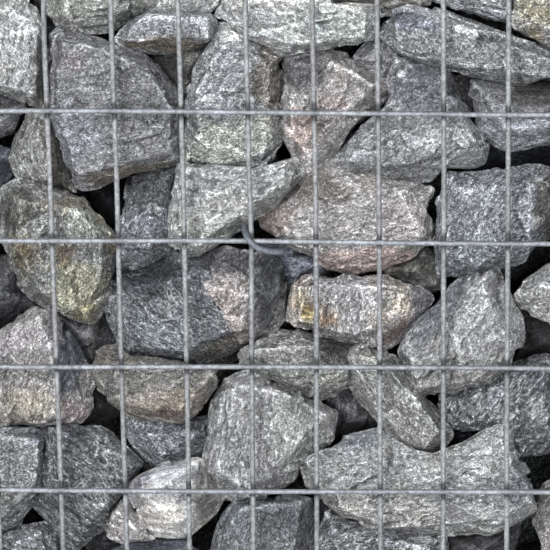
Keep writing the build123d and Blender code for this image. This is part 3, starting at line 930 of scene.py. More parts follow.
def photo_stone(stone, heap, number):
    """One stone of the photographed stretch."""
    rng = np.random.default_rng(100 + number)
    seed = 17 * number
    rim = np.array([at(px, py, stone.rim) for px, py in grown_outline(stone)])
    crest = np.array([at(px, py, depth) for px, py, depth in stone.crest])
    middle = rim.mean(0)
    back = (rim - middle) * PHOTO_BACK + middle + np.array(ahead) * PHOTO_THICKNESS
    corners = np.concatenate([rim, crest, back])
    axes = grain_axes((0, -1, 0), stone.grain)
    keep = photo_outline(rim)
    vertices, faces, wear_highlight_and_shade = carve(corners, -ahead, PHOTO_SIDES, axes, 1.0, seed, keep)
    vertices[:, Y] = np.maximum(vertices[:, Y], mesh_y + wire / 2 + 1)
    # The marks paint shade and highlights besides stains, and the tone also paints light and shade
    paint = painted(vertices, SHADE_LIGHT_AND_STAIN_MARKS.get(stone.name, []), seed) * stone.tone
    heap.add(vertices, faces, wear_highlight_and_shade, ROCKS[stone.kind], axes, rng, PHOTO_STRAY, paint)


def inner_corners(normals, offsets):
    """The corner points of the convex body inside these planes."""
    triples = np.array(list(combinations(range(len(normals)), 3)))
    matrices = normals[triples]
    solid = np.abs(np.linalg.det(matrices)) > 1e-4
    points = np.linalg.solve(matrices[solid], offsets[triples[solid]][..., None])[..., 0]
    return points[(points @ normals.T <= offsets + 1e-6).all(1)]


def photo_room():
    """The lowest and highest corner of the room that only photographed stones fill."""
    near, far = -STRETCH_MARGIN, PHOTO_SIZE + STRETCH_MARGIN
    seen = np.array([at(*pixel, depth) for pixel in product((near, far), repeat=2)
                     for depth in (0, STRETCH_DEPTH)])
    low, high = seen.min(0), seen.max(0)
    low[X], high[X] = at(near, PHOTO_SIZE / 2, 0)[X], at(far, PHOTO_SIZE / 2, 0)[X]
    low[Z], high[Z] = at(PHOTO_SIZE / 2, far, 0)[Z], at(PHOTO_SIZE / 2, near, 0)[Z]
    return low, high


def throw_stones(low, high, blockers, rods, rng):
    """Centres and radii of the stones that fill a basket, the largest first, after the blockers."""
    centres = np.zeros((MOST_STONES, 3))
    radii = np.zeros(MOST_STONES)
    count = len(blockers)
    for place, (centre, radius) in enumerate(blockers):
        centres[place] = centre
        radii[place] = radius
    room_low, room_high = photo_room()
    for radius, tries in RADII:
        room = radius * SIDE_ROOM
        candidates = rng.uniform(low + room, high - room, (tries, 3))
        flat = candidates[:, [X, Z]]
        taken = [np.linalg.norm(flat - rod, axis=1) < ROD_ROOM * radius for rod in rods]
        taken.append(((candidates > room_low) & (candidates < room_high)).all(1))
        for candidate in candidates[~np.any(taken, axis=0)]:
            apart = (centres[:count] - candidate) / STRETCH
            room = PACKING * (radii[:count] + radius)
            if ((apart ** 2).sum(1) > room ** 2).all():
                centres[count] = candidate
                radii[count] = radius
                count += 1
    return centres[:count], radii[:count]


def wall_planes(low, high, centre, radius, rng):
    """The basket's sides, those near a stone with leaning copies that turn its face a little."""
    planes = []
    for axis, side in product((X, Y, Z), (-1, 1)):
        normal = np.zeros(3)
        normal[axis] = side
        room = abs((low if side < 0 else high)[axis] - centre[axis])
        planes.append((normal, room - SKIN))
        if room < NEAR_MESH * radius:
            for _ in range(LEANING):
                lean = normal + LEAN * rng.standard_normal(3) * (1 - np.abs(normal))
                inward = SKIN + rng.uniform(*LEAN_INWARD)
                planes.append((lean / np.linalg.norm(lean), room * LEAN_ROOM - inward))
    return planes


def other_planes(centre, radius, rods, rng):
    """Planes that keep a stone off the rods and the photographed room, and that cut corners off."""
    planes = []
    for rod in rods:
        away = rod - centre[[X, Z]]
        reach = np.linalg.norm(away)
        if reach < NEAR_ROD * radius:
            planes.append((np.array([away[0], 0, away[1]]) / reach, reach - ROD_CLEARANCE))
    away = centre.clip(*photo_room()) - centre
    reach = np.linalg.norm(away)
    if reach < NEAR_PHOTO * radius:
        planes.append((away / reach, reach - STONE_GAP))
    for _ in range(CUTS):
        normal = rng.standard_normal(3)
        planes.append((normal / np.linalg.norm(normal), radius * rng.uniform(*CUT_ROOM)))
    return planes


def fill_bay(bay, blockers, rng):
    """Yields the corner points of each stone that fills one basket, with its place."""
    panel_low, panel_high = box(f"front_panel_{bay}")
    low = np.array([panel_low[X] + wire, mesh_y + wire / 2, box(f"base_panel_{bay}")[1][Z]])
    high = np.array([panel_high[X] - wire, box(f"back_panel_{bay}")[0][Y], box(f"lid_{bay}")[0][Z]])
    rods = np.array([tie_rod(bay, number) for number in range(1, 5)])
    centres, radii = throw_stones(low, high, blockers, rods, rng)
    scaled = centres / STRETCH
    for number in range(len(blockers), len(centres)):
        centre, radius = centres[number], radii[number]
        apart = scaled - scaled[number]
        distance = np.linalg.norm(apart, axis=1)
        near = np.argsort(distance)[1:NEIGHBOURS + 1]
        near = near[distance[near] < NEAR_STONE * radius + RADII[0][0]]
        normals = list(apart[near] / distance[near, None])
        halfway = (distance[near] ** 2 + radius ** 2 - radii[near] ** 2) / (2 * distance[near])
        offsets = list(halfway - STONE_GAP / 2)
        planes = wall_planes(low, high, centre, radius, rng)
        for normal, room in planes + other_planes(centre, radius, rods, rng):
            bent = normal * STRETCH
            size = np.linalg.norm(bent)
            normals.append(bent / size)
            offsets.append(room / size)
        corners = inner_corners(np.array(normals), np.array(offsets))
        if len(corners) >= 4:
            yield corners * STRETCH + centre, centre, radius, low, high


def tie_rod(bay, number):
    """Where the straight rod of a tie passes through the stones, as x and z."""
    low, high = box(f"cross_tie_{bay}_{number}")
    return high[X] - TIE_RADIUS, low[Z] + TIE_RADIUS


def photo_blockers():
    """Centres and radii of the blockers that keep other stones out of the photographed ones."""
    blockers = []
    for stone in PHOTO_STONES:
        rim = np.array([at(px, py, stone.rim) for px, py in stone.outline])
        middle = rim.mean(0)
        size = np.linalg.norm(rim - middle, axis=1).mean()
        for depth in MIDDLE_DEPTHS:
            blockers.append((middle + (0, depth, 0), MIDDLE_SIZE * size))
        for point in rim[::2]:
            place = (point - middle) * RIM_WAY + middle + (0, RIM_DEPTH, 0)
            blockers.append((place, RIM_SIZE * size))
    return blockers


def stone_pieces(material):
    """The photographed stones and all others, as one piece for each part of each face."""
    heaps = {}
    rng = np.random.default_rng(7)
    half = PHOTO_SIZE / 2
    for number, stone in enumerate(PHOTO_STONES):
        px, py = np.mean(stone.outline, axis=0)
        part = ("upper" if py < half else "lower", "left" if px < half else "right")
        name = "photo_stones_" + "_".join(part)
        heap = heaps.setdefault((name, 1), StoneHeap(name))
        photo_stone(stone, heap, number)
    kinds = [kind for kind, share in KIND_SHARES.items() for _ in range(share)]
    for bay in range(1, bays + 1):
        blockers = photo_blockers() if bay == 1 else []
        for number, (corners, centre, radius, low, high) in enumerate(fill_bay(bay, blockers, rng)):
            outer_end = centre[X] - low[X] if bay == 1 else high[X] - centre[X]
            depths = {
                "front": (centre[Y] - low[Y], (0, -1, 0)),
                "back": (high[Y] - centre[Y], (0, 1, 0)),
                "end": (outer_end, (-1 if bay == 1 else 1, 0, 0)),
                "top": (high[Z] - centre[Z], (0, 0, 1)),
            }
            face = min(depths, key=lambda key: depths[key][0])
            depth, outward = depths[face]
            shown = depth < SHOWN * radius
            if shown:
                upper = "upper" if centre[Z] > (low[Z] + high[Z]) / 2 else "lower"
                part = "left" if centre[X] < (low[X] + high[X]) / 2 else "right"
                name = f"{face}_stones_{bay}"
                if face in ("front", "back"):
                    name += f"_{upper}_{part}"
            else:
                name = f"inner_stones_{bay}"
            heap = heaps.setdefault((name, bay), StoneHeap(name))
            rock = ROCKS[kinds[rng.integers(len(kinds))]]
            axes = grain_axes(outward, rng.normal(0, GRAIN_STRAY))
            if shown:
                facing = [way for room, way in depths.values() if room < SHOWN * radius]
                seed = 5000 * bay + 13 * number
                vertices, faces, wear_highlight_and_shade = carve(
                    corners, np.mean(facing, axis=0), FILL_SIDES, axes, FILL_RELIEF, seed)
            else:
                vertices, faces = hull(corners)
                wear_highlight_and_shade = np.zeros(len(vertices))
            for axis in (X, Y, Z):
                vertices[:, axis] = vertices[:, axis].clip(low[axis] + INSET, high[axis] - INSET)
            heap.add(vertices, faces, wear_highlight_and_shade, rock, axes, rng)
    for (name, bay), heap in heaps.items():
        heap.build(material, f"stone_fill_{bay}")


# Wires

# A wire's sides, about how long its straight steps are, and about how far it bows
WIRE_SIDES = 10
WIRE_STEP = 50.0
WIRE_BOW = 0.7

# Where the photographed wires run, in pixels: uprights and rails counted from the hook's crossing
UPRIGHT_MARKS = {
    -3: [(42.6, 20), (44.2, 65), (48.9, 175), (53.8, 315), (59.3, 460), (61.9, 530)],
    -2: [(110.0, 20), (115.7, 175), (119.2, 315), (123.3, 460), (126.0, 530)],
    -1: [(177.2, 20), (179.0, 65), (182.1, 175), (184.9, 315), (187.0, 430), (188.4, 530)],
    0: [(244.6, 20), (245.7, 65), (248.2, 175), (250.3, 224), (250.9, 262), (250.7, 315),
        (251.3, 440), (252.6, 530)],
    1: [(311.6, 20), (312.3, 65), (314.4, 175), (315.7, 315), (315.6, 440), (316.0, 530)],
    2: [(376.3, 20), (377.9, 175), (378.8, 315), (379.0, 440), (379.8, 530)],
    3: [(442.6, 20), (443.1, 190), (442.6, 330), (442.3, 530)],
    4: [(507.7, 20), (507.3, 190), (506.5, 320), (505.9, 430), (505.8, 530)],
}
RAIL_MARKS = {
    1: [(20, 110.3), (145, 110.8), (280, 112.4), (410, 113.5), (535, 115.0)],
    0: [(20, 240.7), (215, 240.4), (280, 240.9), (410, 242.8), (535, 243.8)],
    -1: [(20, 366.9), (215, 366.4), (345, 366.9), (475, 367.4), (535, 368.1)],
    -2: [(20, 489.8), (82, 490.4), (215, 491.2), (345, 491.4), (535, 491.6)],
}
# How far beyond its marks a wire takes to be straight again
BEND_FADE = 160.0
# From the number of a marked pixel to its middle, as the camera here sees it
MARK_SHIFT = (0.9, 0.3)
# How much the welds' burn and the painted shade darken the outer wires, beside the inner ones
OUTER_BURN_AND_SHADE = 0.25


def tube(path, radius, sides):
    """Rings of points round a path, and the faces between them with flat ends."""
    path = np.array(path, float)
    ways = np.gradient(path, axis=0)
    ways /= np.linalg.norm(ways, axis=1)[:, None]
    side = np.cross(ways[0], (0.0, 0.0, 1.0))
    if np.linalg.norm(side) < 0.3:
        side = np.cross(ways[0], (0.0, 1.0, 0.0))
    turns = 2 * pi * np.arange(sides) / sides
    rings = []
    for point, way in zip(path, ways):
        side = side - way * side.dot(way)
        side /= np.linalg.norm(side)
        over = np.cross(way, side)
        round_way = np.outer(np.cos(turns), side) + np.outer(np.sin(turns), over)
        rings.append(point + radius * round_way)
    faces = []
    for ring in range(len(path) - 1):
        for corner in range(sides):
            after = (corner + 1) % sides
            start, end = ring * sides, (ring + 1) * sides
            faces.append([start + corner, start + after, end + after, end + corner])
    faces.append(list(range(sides))[::-1])
    faces.append([(len(path) - 1) * sides + corner for corner in range(sides)])
    return np.concatenate(rings), faces


class WireBundle:
    """Wires gathered into one mesh. Along each wire its welds are counted, and each vertex has
    that count, the distance between two welds in centimetres, and its weld burn and painted shade."""

    def __init__(self):
        self.vertices = []
        self.faces = []
        self.weld = []
        self.count = 0

    def add(self, path, radius, corners, weld_pitch=100.0, burn_and_shade=0.0, axis=Z):
        vertices, faces = tube(path, radius, corners)
        self.faces += [[corner + self.count for corner in face] for face in faces]
        self.vertices.append(vertices)
        self.count += len(vertices)
        welds = (vertices[:, axis] - path[0][axis] - wire / 2) / weld_pitch
        self.weld.append(np.stack([welds, welds * 0 + weld_pitch / 10, welds * 0 + burn_and_shade], axis=1))

    def build(self, name, material, slot, node):
        mesh = new_mesh(name, self.vertices, self.faces)
        give(mesh, "weld", "FLOAT_VECTOR", "vector", self.weld)
        add_piece(mesh, material, node)


def photo_bend(node, runs, spaced, place, stations, middle):
    """How far a photographed wire strays from its straight line at each station, else None."""
    upright = runs == Z
    offset = place - (hook_column if upright else hook_row)
    marks = (UPRIGHT_MARKS if upright else RAIL_MARKS).get(offset)
    if node != "front_panel_1" or marks is None:
        return None
    marks = np.array(marks) + MARK_SHIFT
    seen = np.array([at(px, py, 0 if upright else -wire) for px, py in marks])
    seen = seen[seen[:, runs].argsort()]
    places = [seen[0, runs] - BEND_FADE, *seen[:, runs], seen[-1, runs] + BEND_FADE]
    return np.interp(stations, places, [0, *(seen[:, spaced] - middle), 0])


def wire_layer(bundle, node, runs, spaced, side, pitch, crossing_pitch, burn_and_shade, seed):
    """Parallel wires of a panel, which run along one axis and are spaced along another."""
    low, high = box(node)
    third = 3 - runs - spaced
    level = low[third] + wire / 2 if side < 0 else high[third] - wire / 2
    count = round((high[spaced] - low[spaced] - wire) / pitch)
    rng = np.random.default_rng(seed)
    stations = np.linspace(low[runs], high[runs], round((high[runs] - low[runs]) / WIRE_STEP) + 1)
    crossings = round((high[runs] - low[runs] - wire) / crossing_pitch)
    real_crossing = (high[runs] - low[runs] - wire) / crossings
    for place in range(count + 1):
        path = np.zeros((len(stations), 3))
        path[:, runs] = stations
        path[:, third] = level
        span = (stations - stations[0]) / (stations[-1] - stations[0])
        ripple = np.sin(3 * pi * span + rng.uniform(0, 2 * pi))
        bow = np.sin(pi * span) * (rng.normal(0, WIRE_BOW) + rng.normal(0, WIRE_BOW / 2) * ripple)
        middle = low[spaced] + wire / 2 + place * (high[spaced] - low[spaced] - wire) / count
        if place in (0, count):
            bow = 0
        bend = photo_bend(node, runs, spaced, place, stations, middle)
        path[:, spaced] = middle + (bow if bend is None else bend)
        bundle.add(path, wire / 2, WIRE_SIDES, real_crossing, burn_and_shade, runs)


def mesh_panel(node, along, up, outward, outer_runs, material, seed):
    """A welded panel: two layers of wires that cross, in place of the plainer CAD one.

    outward is the side of the panel that faces away from the stones, and outer_runs is the
    axis along which its outer wires run.
    """
    bundle = WireBundle()
    pitches = {along: opening_width, up: opening_height}
    for runs, spaced in ((up, along), (along, up)):
        side, burn_and_shade = (outward, OUTER_BURN_AND_SHADE) if runs == outer_runs else (-outward, 1.0)
        wire_layer(bundle, node, runs, spaced, side, pitches[spaced], pitches[runs], burn_and_shade,
                   seed + runs)
    bundle.build(f"{node}_wires", material, "mesh_wire", node)


def mesh_panels(material):
    for bay in range(1, bays + 1):
        mesh_panel(f"front_panel_{bay}", X, Z, -1, X, material, 10 * bay)
        mesh_panel(f"back_panel_{bay}", X, Z, 1, X, material, 10 * bay + 3)
        mesh_panel(f"lid_{bay}", X, Y, 1, Y, material, 10 * bay + 5)
        mesh_panel(f"base_panel_{bay}", X, Y, -1, Y, material, 10 * bay + 7)
    mesh_panel("end_panel_left", Y, Z, -1, Y, material, 101)
    mesh_panel("end_panel_right", Y, Z, 1, Y, material, 103)
    mesh_panel("diaphragm_1", Y, Z, 1, Y, material, 105)


def smooth_path(points, steps):
    """A rounded path through points, as a Catmull-Rom spline."""
    points = np.array(points, float)
    padded = np.concatenate([[2 * points[0] - points[1]], points, [2 * points[-1] - points[-2]]])
    path = []
    for before, start, end, after in zip(padded, padded[1:], padded[2:], padded[3:]):
        for step in range(steps):
            t = step / steps
            turn = 2 * before - 5 * start + 4 * end - after
            twist = 3 * start - before - 3 * end + after
            path.append(0.5 * (2 * start + (end - before) * t + turn * t ** 2 + twist * t ** 3))
    path.append(points[-1])
    return path


TIE_RADIUS = 2.5
# The tie's hook at the front, from its crossing: x to the right, y inward, z up
HOOK = [(-5, 7, 8.7), (-4.7, 1.5, 7.5), (-2.3, -6.2, 4.1), (0.6, -9.3, 1), (5.5, -9, -3.2),
        (10.4, -7.8, -5.4), (18.3, -4.8, -7.7), (25.3, -1, -8.5), (27, 6, -8.5), (27, 22, -8.5)]
# How far right of the crossing and below it the hook turns inward
HOOK_REACH = 27.0
HOOK_DROP = 8.5
# How far right of its place the upright stands that the photographed hook holds
HOOKED_STRAY = 2.8


def cross_ties(material):
    back_y = box("back_panel_1")[0][Y] + wire / 2
    for bay in range(1, bays + 1):
        for number in range(1, 5):
            rod_x, rod_z = tie_rod(bay, number)
            x, z = rod_x - HOOK_REACH, rod_z + HOOK_DROP
            stray = HOOKED_STRAY if (bay, number) == (1, 4) else 0.0
            front = [(x + dx + stray * min(1, 1 - dx / HOOK_REACH), mesh_y + dy, z + dz)
                     for dx, dy, dz in HOOK]
            back = [(x + dx, back_y - dy, z + dz) for dx, dy, dz in reversed(HOOK)]
            bundle = WireBundle()
            bundle.add(smooth_path(front, 6) + smooth_path(back, 6), TIE_RADIUS, 12)
            node = f"cross_tie_{bay}_{number}"
            bundle.build(f"{node}_rod", material, "tie_wire", node)


RING_RADIUS = 1.5
RING_GAP = 20.0
# Where a ring's wire starts and ends, as shares of half a turn from its mouth, and how far along
# the seam one end stands before the other, to each side
RING_MOUTH = 0.12
RING_STEPS = 26
RING_LEAN = 1.2


def clip_places(node):
    """The box of each ring in a node of clips, which stand apart along one axis."""
    low, high = box(node)
    axis = int(np.argmax(high - low))
    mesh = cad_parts[node].data
    points = np.array([vertex.co for vertex in mesh.vertices]) / MM
    points = points[np.argsort(points[:, axis])]
    breaks = np.where(np.diff(points[:, axis]) > RING_GAP)[0] + 1
    for group in np.split(points, breaks):
        yield group.min(0), group.max(0), axis


def clips(node, inward, material):
    """Round open rings in place of the CAD ones; their mouth faces inward."""
    bundle = WireBundle()
    for low, high, axis in clip_places(node):
        middle = (low + high) / 2
        across = np.array(inward, float)
        across[axis] = 0
        across /= np.linalg.norm(across)
        normal = np.zeros(3)
        normal[axis] = 1
        beside = np.cross(normal, across)
        turns = np.linspace(RING_MOUTH * pi, (2 - RING_MOUTH) * pi, RING_STEPS)
        lean = np.linspace(-RING_LEAN, RING_LEAN, RING_STEPS)
        radius = np.delete((high - low) / 2, axis).min() - RING_RADIUS
        path = [middle + radius * (cos(turn) * across + sin(turn) * beside) + shift * normal
                for turn, shift in zip(turns, lean)]
        bundle.add(path, RING_RADIUS, 8)
    bundle.build(f"{node}_rings", material, "clip_wire", node)


def clip_rings(material):
    for bay in range(1, bays + 1):
        for face, side in (("front", 1), ("back", -1)):
            clips(f"lid_clips_{face}_{bay}", (0, side, -0.2), material)
            clips(f"base_clips_{face}_{bay}", (0, side, 0.2), material)
    for face, side in (("front", 1), ("back", -1)):
        clips(f"corner_clips_{face}_left", (0, side, 0), material)
        clips(f"corner_clips_{face}_right", (0, side, 0), material)
        clips(f"seam_clips_{face}_1", (0, side, 0), material)
    clips("lid_end_clips_left", (1, 0, 0), material)
    clips("lid_end_clips_right", (-1, 0, 0), material)
    clips("lid_seam_clips_1", (0, 0, -1), material)


# Materials


class Painter:
    """Adds nodes to a material, with short names for the ones used here."""

    def __init__(self, name):
        self.material = bpy.data.materials.new(name)
        self.material.use_nodes = True
        self.tree = self.material.node_tree
        self.shader = self.tree.nodes["Principled BSDF"]

    def node(self, kind, settings=(), **inputs):
        node = self.tree.nodes.new(kind)
        for key, value in dict(settings).items():
            setattr(node, key, value)
        for key, value in inputs.items():
            self.feed(node.inputs[key.replace("_", " ")], value)
        return node

    def feed(self, socket, value):
        if isinstance(value, bpy.types.NodeSocket):
            self.tree.links.new(value, socket)
        else:
            socket.default_value = value

    def attribute(self, name, output):
        return self.node("ShaderNodeAttribute", {"attribute_name": name}).outputs[output]

    def math(self, operation, first, second=0.0, third=0.0, clamp=False):
        node = self.node("ShaderNodeMath", {"operation": operation, "use_clamp": clamp})
        for socket, value in zip(node.inputs, (first, second, third)):
            self.feed(socket, value)
        return node.outputs[0]

    def noise(self, vector, scale, detail=3.0, roughness=0.55, distortion=0.0):
        node = self.node("ShaderNodeTexNoise", Vector=vector, Scale=scale, Detail=detail,
                         Roughness=roughness, Distortion=distortion)
        return node.outputs["Fac"]

    def squeezed(self, vector, squeeze):
        """The place in the grain, squeezed across it so that what is painted lies along it."""
        scale = (1.0, squeeze, squeeze)
        return self.node("ShaderNodeMapping", Vector=vector, Scale=scale).outputs["Vector"]

    def ramp(self, value, low, high, out_low=0.0, out_high=1.0, smooth=False):
        settings = {"interpolation_type": "SMOOTHSTEP" if smooth else "LINEAR"}
        node = self.node("ShaderNodeMapRange", settings, Value=value, From_Min=low, From_Max=high,
                         To_Min=out_low, To_Max=out_high)
        return node.outputs["Result"]

    def swing(self, value, low, high):
        """From -1 to 1 as the value goes from low to high."""
        return self.ramp(value, low, high, -1.0, 1.0)

    def lines(self, noise, width, smooth=False):
        """1 along the thin lines where a noise crosses its middle."""
        off = self.math("ABSOLUTE", self.math("SUBTRACT", noise, 0.5))
        return self.ramp(off, 0.0, width, 1.0, 0.0, smooth)

    def plus(self, value, *others):
        """A value plus others, each times its strength."""
        for other, strength in others:
            value = self.math("MULTIPLY_ADD", other, strength, value)
        return value

    def grey(self, value):
        node = self.node("ShaderNodeCombineColor", Red=value, Green=value, Blue=value)
        return node.outputs[0]

    def mix(self, factor, first, second, blend="MIX"):
        node = self.node("ShaderNodeMix", {"data_type": "RGBA", "blend_type": blend})
        self.feed(node.inputs[0], factor)
        self.feed(node.inputs[6], first)
        self.feed(node.inputs[7], second)
        return node.outputs[2]

    def finish(self, colour, roughness, bump, **others):
        """Feeds the shader and gives the finished material."""
        inputs = self.shader.inputs
        self.feed(inputs["Base Color"], colour)
        self.feed(inputs["Roughness"], roughness)
        self.feed(inputs["Normal"], bump.outputs[0])
        for name, value in others.items():
            inputs[name.replace("_", " ")].default_value = value
        return self.material


def stone_material():
    """Broken rock painted by each vertex's grain, tint, traits, and wear with painted light and
    shade.
    """
    paint = Painter("broken rock")
    grain = paint.attribute("grain", "Vector")
    # The tint carries the tones and marks, with their painted shade and highlights
    tint = paint.attribute("tint", "Color")
    wear_highlight_and_shade = paint.attribute("wear_highlight_and_shade", "Fac")
    traits = paint.node("ShaderNodeAttribute", {"attribute_name": "traits"}).outputs
    split = paint.node("ShaderNodeSeparateColor", Color=traits["Color"])
    banding, fleck, stain = split.outputs
    vein = traits["Alpha"]
    warp = paint.node("ShaderNodeTexNoise", Vector=grain, Scale=2.5, Detail=2.0)
    bent = paint.node("ShaderNodeVectorMath", {"operation": "MULTIPLY_ADD"})
    for socket, value in zip(bent.inputs, (warp.outputs["Color"], (0.16, 0.16, 0.16), grain)):
        paint.feed(socket, value)
    bent = bent.outputs[0]

    bands = paint.swing(paint.noise(paint.squeezed(bent, 4.0), 8.0, 5.0, 0.7), 0.41, 0.59)
    crystal = paint.node("ShaderNodeTexVoronoi", Vector=paint.squeezed(bent, 1.3), Scale=58.0)
    crystal = paint.node("ShaderNodeSeparateColor", Color=crystal.outputs["Color"])
    crystal = paint.math("MULTIPLY_ADD", crystal.outputs["Red"], 2.0, -1.0)
    flecks = paint.swing(paint.noise(paint.squeezed(bent, 1.25), 42.0, 3.0, 0.8), 0.42, 0.58)
    grit = paint.swing(paint.noise(grain, 95.0, 2.0, 0.7), 0.42, 0.58)
    mottles = paint.swing(paint.noise(bent, 10.0, 3.0, 0.6), 0.38, 0.62)
    patches = paint.swing(paint.noise(grain, 2.6, 2.0), 0.3, 0.7)
    hairs = paint.lines(paint.noise(paint.squeezed(bent, 1.8), 9.0, 3.0, 0.6, 0.8), 0.014)
    hairs = paint.math("MULTIPLY", hairs, paint.ramp(paint.noise(grain, 14.0), 0.48, 0.6))
    cracks = paint.lines(paint.noise(paint.squeezed(bent, 2.6), 5.0, 4.0, 0.6, 0.5), 0.01)
    cracks = paint.math("MULTIPLY", cracks, paint.ramp(paint.noise(grain, 6.0), 0.5, 0.62))

    speckle = paint.plus(paint.math("MULTIPLY", crystal, 0.5), (flecks, 0.46))
    value = paint.math("MULTIPLY", paint.math("MULTIPLY", bands, banding), 0.4)
    # The wear paints highlight on bulges and edges and shade in hollows
    value = paint.plus(
        value, (speckle, fleck), (grit, 0.42), (mottles, 0.15), (patches, 0.12), (wear_highlight_and_shade, 0.6),
        (hairs, 0.5), (cracks, -0.45))
    value = paint.math("EXPONENT", paint.math("MULTIPLY_ADD", value, 1.1, -0.54))
    colour = paint.mix(1.0, tint, paint.grey(value), "MULTIPLY")

    rusty = paint.ramp(paint.noise(grain, 3.4, 4.0, 0.6), 0.5, 0.72, smooth=True)
    rusty = paint.math("MULTIPLY", rusty, stain, clamp=True)
    rust = paint.mix(1.0, colour, (0.95, 0.82, 0.62, 1.0), "MULTIPLY")
    colour = paint.mix(rusty, colour, rust)

    thread = paint.noise(paint.squeezed(bent, 1.6), 3.6, 2.0, 0.5, 0.4)
    thread = paint.lines(thread, 0.016, smooth=True)
    veined = paint.math("MULTIPLY", thread, paint.ramp(paint.noise(grain, 1.7), 0.5, 0.65))
    veined = paint.math("MULTIPLY", veined, vein, clamp=True)
    colour = paint.mix(veined, colour, (0.62, 0.62, 0.60, 1.0))

    height = paint.plus(
        paint.math("MULTIPLY", bands, 0.32), (flecks, 0.16), (crystal, 0.12), (mottles, 0.25),
        (cracks, -0.5))
    bump = paint.node("ShaderNodeBump", Strength=1.0, Distance=0.001, Height=height)
    rough = paint.ramp(flecks, -1.0, 1.0, 0.92, 0.72)
    return paint.finish(colour, rough, bump, Specular_IOR_Level=0.35)


def wire_material(name, colour, dark, mottling):
    """Metal wire: duller by weld burn and painted shade, with painted shade where it faces up."""
    paint = Painter(name)
    place = paint.node("ShaderNodeTexCoord").outputs["Object"]
    weld = paint.node("ShaderNodeSeparateXYZ", Vector=paint.attribute("weld", "Vector")).outputs
    spangle = paint.noise(place, 320.0, 4.0, 0.7, 0.6)
    cloud = paint.noise(place, 45.0, 3.0, 0.6)
    value = paint.ramp(spangle, 0.35, 0.65, 1 - mottling, 1 + mottling)
    half = mottling / 2
    value = paint.math("MULTIPLY", value, paint.ramp(cloud, 0.3, 0.7, 1 - half, 1 + half))
    base = paint.mix(1.0, (*colour, 1.0), paint.grey(value), "MULTIPLY")
    # Wires with the most burn are duller and darker all along: painted shade, as they catch less
    # light than the outer wires, together with weld burn
    dull_and_shaded = paint.mix(1.0, base, (0.84, 0.81, 0.76, 1.0), "MULTIPLY")
    base = paint.mix(weld["Z"], base, dull_and_shaded)
    # Painted shade: the sides that face up are darker, to even out the light that falls from above
    normal = paint.node("ShaderNodeNewGeometry").outputs["Normal"]
    up = paint.node("ShaderNodeSeparateXYZ", Vector=normal).outputs["Z"]
    base = paint.mix(1.0, base, paint.grey(paint.ramp(up, 0.0, 1.0, 1.0, 0.5)), "MULTIPLY")
    # Dark blotches near each weld: weld burn together with painted shade beside the crossing wire
    near = paint.math("MULTIPLY", paint.math("PINGPONG", weld["X"], 0.5), weld["Y"])
    near = paint.math("ADD", near, paint.ramp(cloud, 0.3, 0.7, -0.2, 0.2))
    burn_and_shade = paint.math("MULTIPLY", paint.ramp(near, 0.4, 0.85, 0.9, 0.0, smooth=True), weld["Z"])
    base = paint.mix(burn_and_shade, base, (*dark, 1.0))
    bump = paint.node("ShaderNodeBump", Strength=0.35, Distance=0.0003, Height=spangle)
    return paint.finish(base, paint.ramp(spangle, 0.3, 0.7, 0.5, 0.7), bump, Metallic=0.3)


# Studio

SKY_STRENGTH = 0.7
BACKDROP = 0.86
# How much paler the camera sees the floor, and how far out, in metres, it turns into the backdrop
SEEN_FLOOR = 1.6
FLOOR_FADE = (1.4, 3.4)


def camera():
    data = bpy.data.cameras.new("camera")
    data.lens = LENS
    data.sensor_width = SENSOR
    data.clip_end = 50
    item = bpy.data.objects.new("camera", data)
    turn = Matrix((view_right, view_up, -ahead)).transposed().to_4x4()
    item.matrix_world = Matrix.Translation(eye * MM) @ turn
    bpy.context.scene.collection.objects.link(item)
    bpy.context.scene.camera = item


def lamp(name, place, target, size, power):
    data = bpy.data.lights.new(name, "AREA")
    data.shape = "DISK"
    data.size = size
    data.energy = power
    item = bpy.data.objects.new(name, data)
    item.location = place
    item.rotation_euler = (Vector(target) - Vector(place)).to_track_quat("-Z", "Y").to_euler()
    item.visible_camera = False
    bpy.context.scene.collection.objects.link(item)


def background_rays(tree):
    """1 for the rays that see the pale background: from the camera, off metal or through glass."""
    path = tree.nodes.new("ShaderNodeLightPath")
    seen = path.outputs["Is Camera Ray"]
    for kind in ("Is Glossy Ray", "Is Transmission Ray"):
        either = tree.nodes.new("ShaderNodeMath")
        either.operation = "MAXIMUM"
        tree.links.new(seen, either.inputs[0])
        tree.links.new(path.outputs[kind], either.inputs[1])
        seen = either.outputs[0]
    return seen


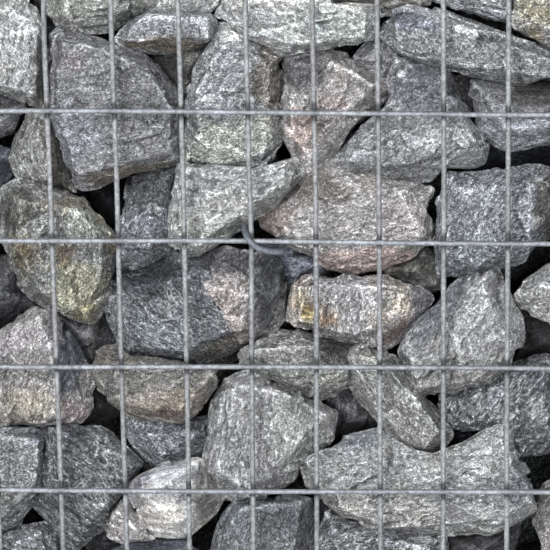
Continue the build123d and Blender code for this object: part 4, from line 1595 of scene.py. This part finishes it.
def studio():
    scene = bpy.context.scene
    scene.view_settings.view_transform = "Standard"
    scene.world = bpy.data.worlds.new("studio")
    scene.world.use_nodes = True
    nodes, links = scene.world.node_tree.nodes, scene.world.node_tree.links
    sky = nodes["Background"]
    sky.inputs["Color"].default_value = (0.92, 0.95, 1.0, 1.0)
    sky.inputs["Strength"].default_value = SKY_STRENGTH
    backdrop = nodes.new("ShaderNodeBackground")
    backdrop.inputs["Color"].default_value = (BACKDROP, BACKDROP, BACKDROP, 1.0)
    choice = nodes.new("ShaderNodeMixShader")
    links.new(background_rays(scene.world.node_tree), choice.inputs[0])
    links.new(sky.outputs[0], choice.inputs[1])
    links.new(backdrop.outputs[0], choice.inputs[2])
    links.new(choice.outputs[0], nodes["World Output"].inputs["Surface"])
    lamp("key", (-2.2, -4.1, 3.3), (-0.2, 0, 0.6), 2.4, 375)
    lamp("fill", (1.0, -3.7, 0.45), (0, 0, 0.6), 3.0, 128)
    lamp("rear", (1.6, 4.0, 2.6), (0, 0, 0.5), 3.0, 220)

    floor = bpy.data.meshes.new("floor")
    reach = 40.0
    corners = [(-reach, -reach, 0), (reach, -reach, 0), (reach, reach, 0), (-reach, reach, 0)]
    floor.from_pydata(corners, [], [(0, 1, 2, 3)])
    paint = Painter("pale floor")
    place = paint.node("ShaderNodeTexCoord").outputs["Object"]
    tone = paint.ramp(paint.noise(place, 6.0, 4.0), 0.3, 0.7, 0.26, 0.28)
    seen = background_rays(paint.tree)
    tone = paint.math("MULTIPLY_ADD", paint.math("MULTIPLY", tone, seen), SEEN_FLOOR - 1, tone)
    paint.feed(paint.shader.inputs["Base Color"], paint.grey(tone))
    paint.shader.inputs["Roughness"].default_value = 0.9
    away = paint.node("ShaderNodeVectorMath", {"operation": "LENGTH"})
    paint.feed(away.inputs[0], place)
    far = paint.ramp(away.outputs["Value"], *FLOOR_FADE, smooth=True)
    glow = paint.node("ShaderNodeEmission", Color=(BACKDROP, BACKDROP, BACKDROP, 1.0))
    blend = paint.node("ShaderNodeMixShader")
    paint.feed(blend.inputs[0], paint.math("MULTIPLY", far, seen))
    paint.feed(blend.inputs[1], paint.shader.outputs[0])
    paint.feed(blend.inputs[2], glow.outputs[0])
    paint.feed(paint.tree.nodes["Material Output"].inputs["Surface"], blend.outputs[0])
    floor.materials.append(paint.material)
    item = bpy.data.objects.new("floor", floor)
    scene.collection.objects.link(item)


camera()
studio()
stone_pieces(stone_material())
zinc = wire_material("galvanised wire", (0.24, 0.257, 0.284), (0.03, 0.031, 0.035), 0.5)
mesh_panels(zinc)
cross_ties(wire_material("tie rod", (0.13, 0.145, 0.17), (0.1, 0.1, 0.11), 0.25))
clip_rings(wire_material("clip wire", (0.5, 0.5, 0.5), (0.2, 0.2, 0.2), 0.15))
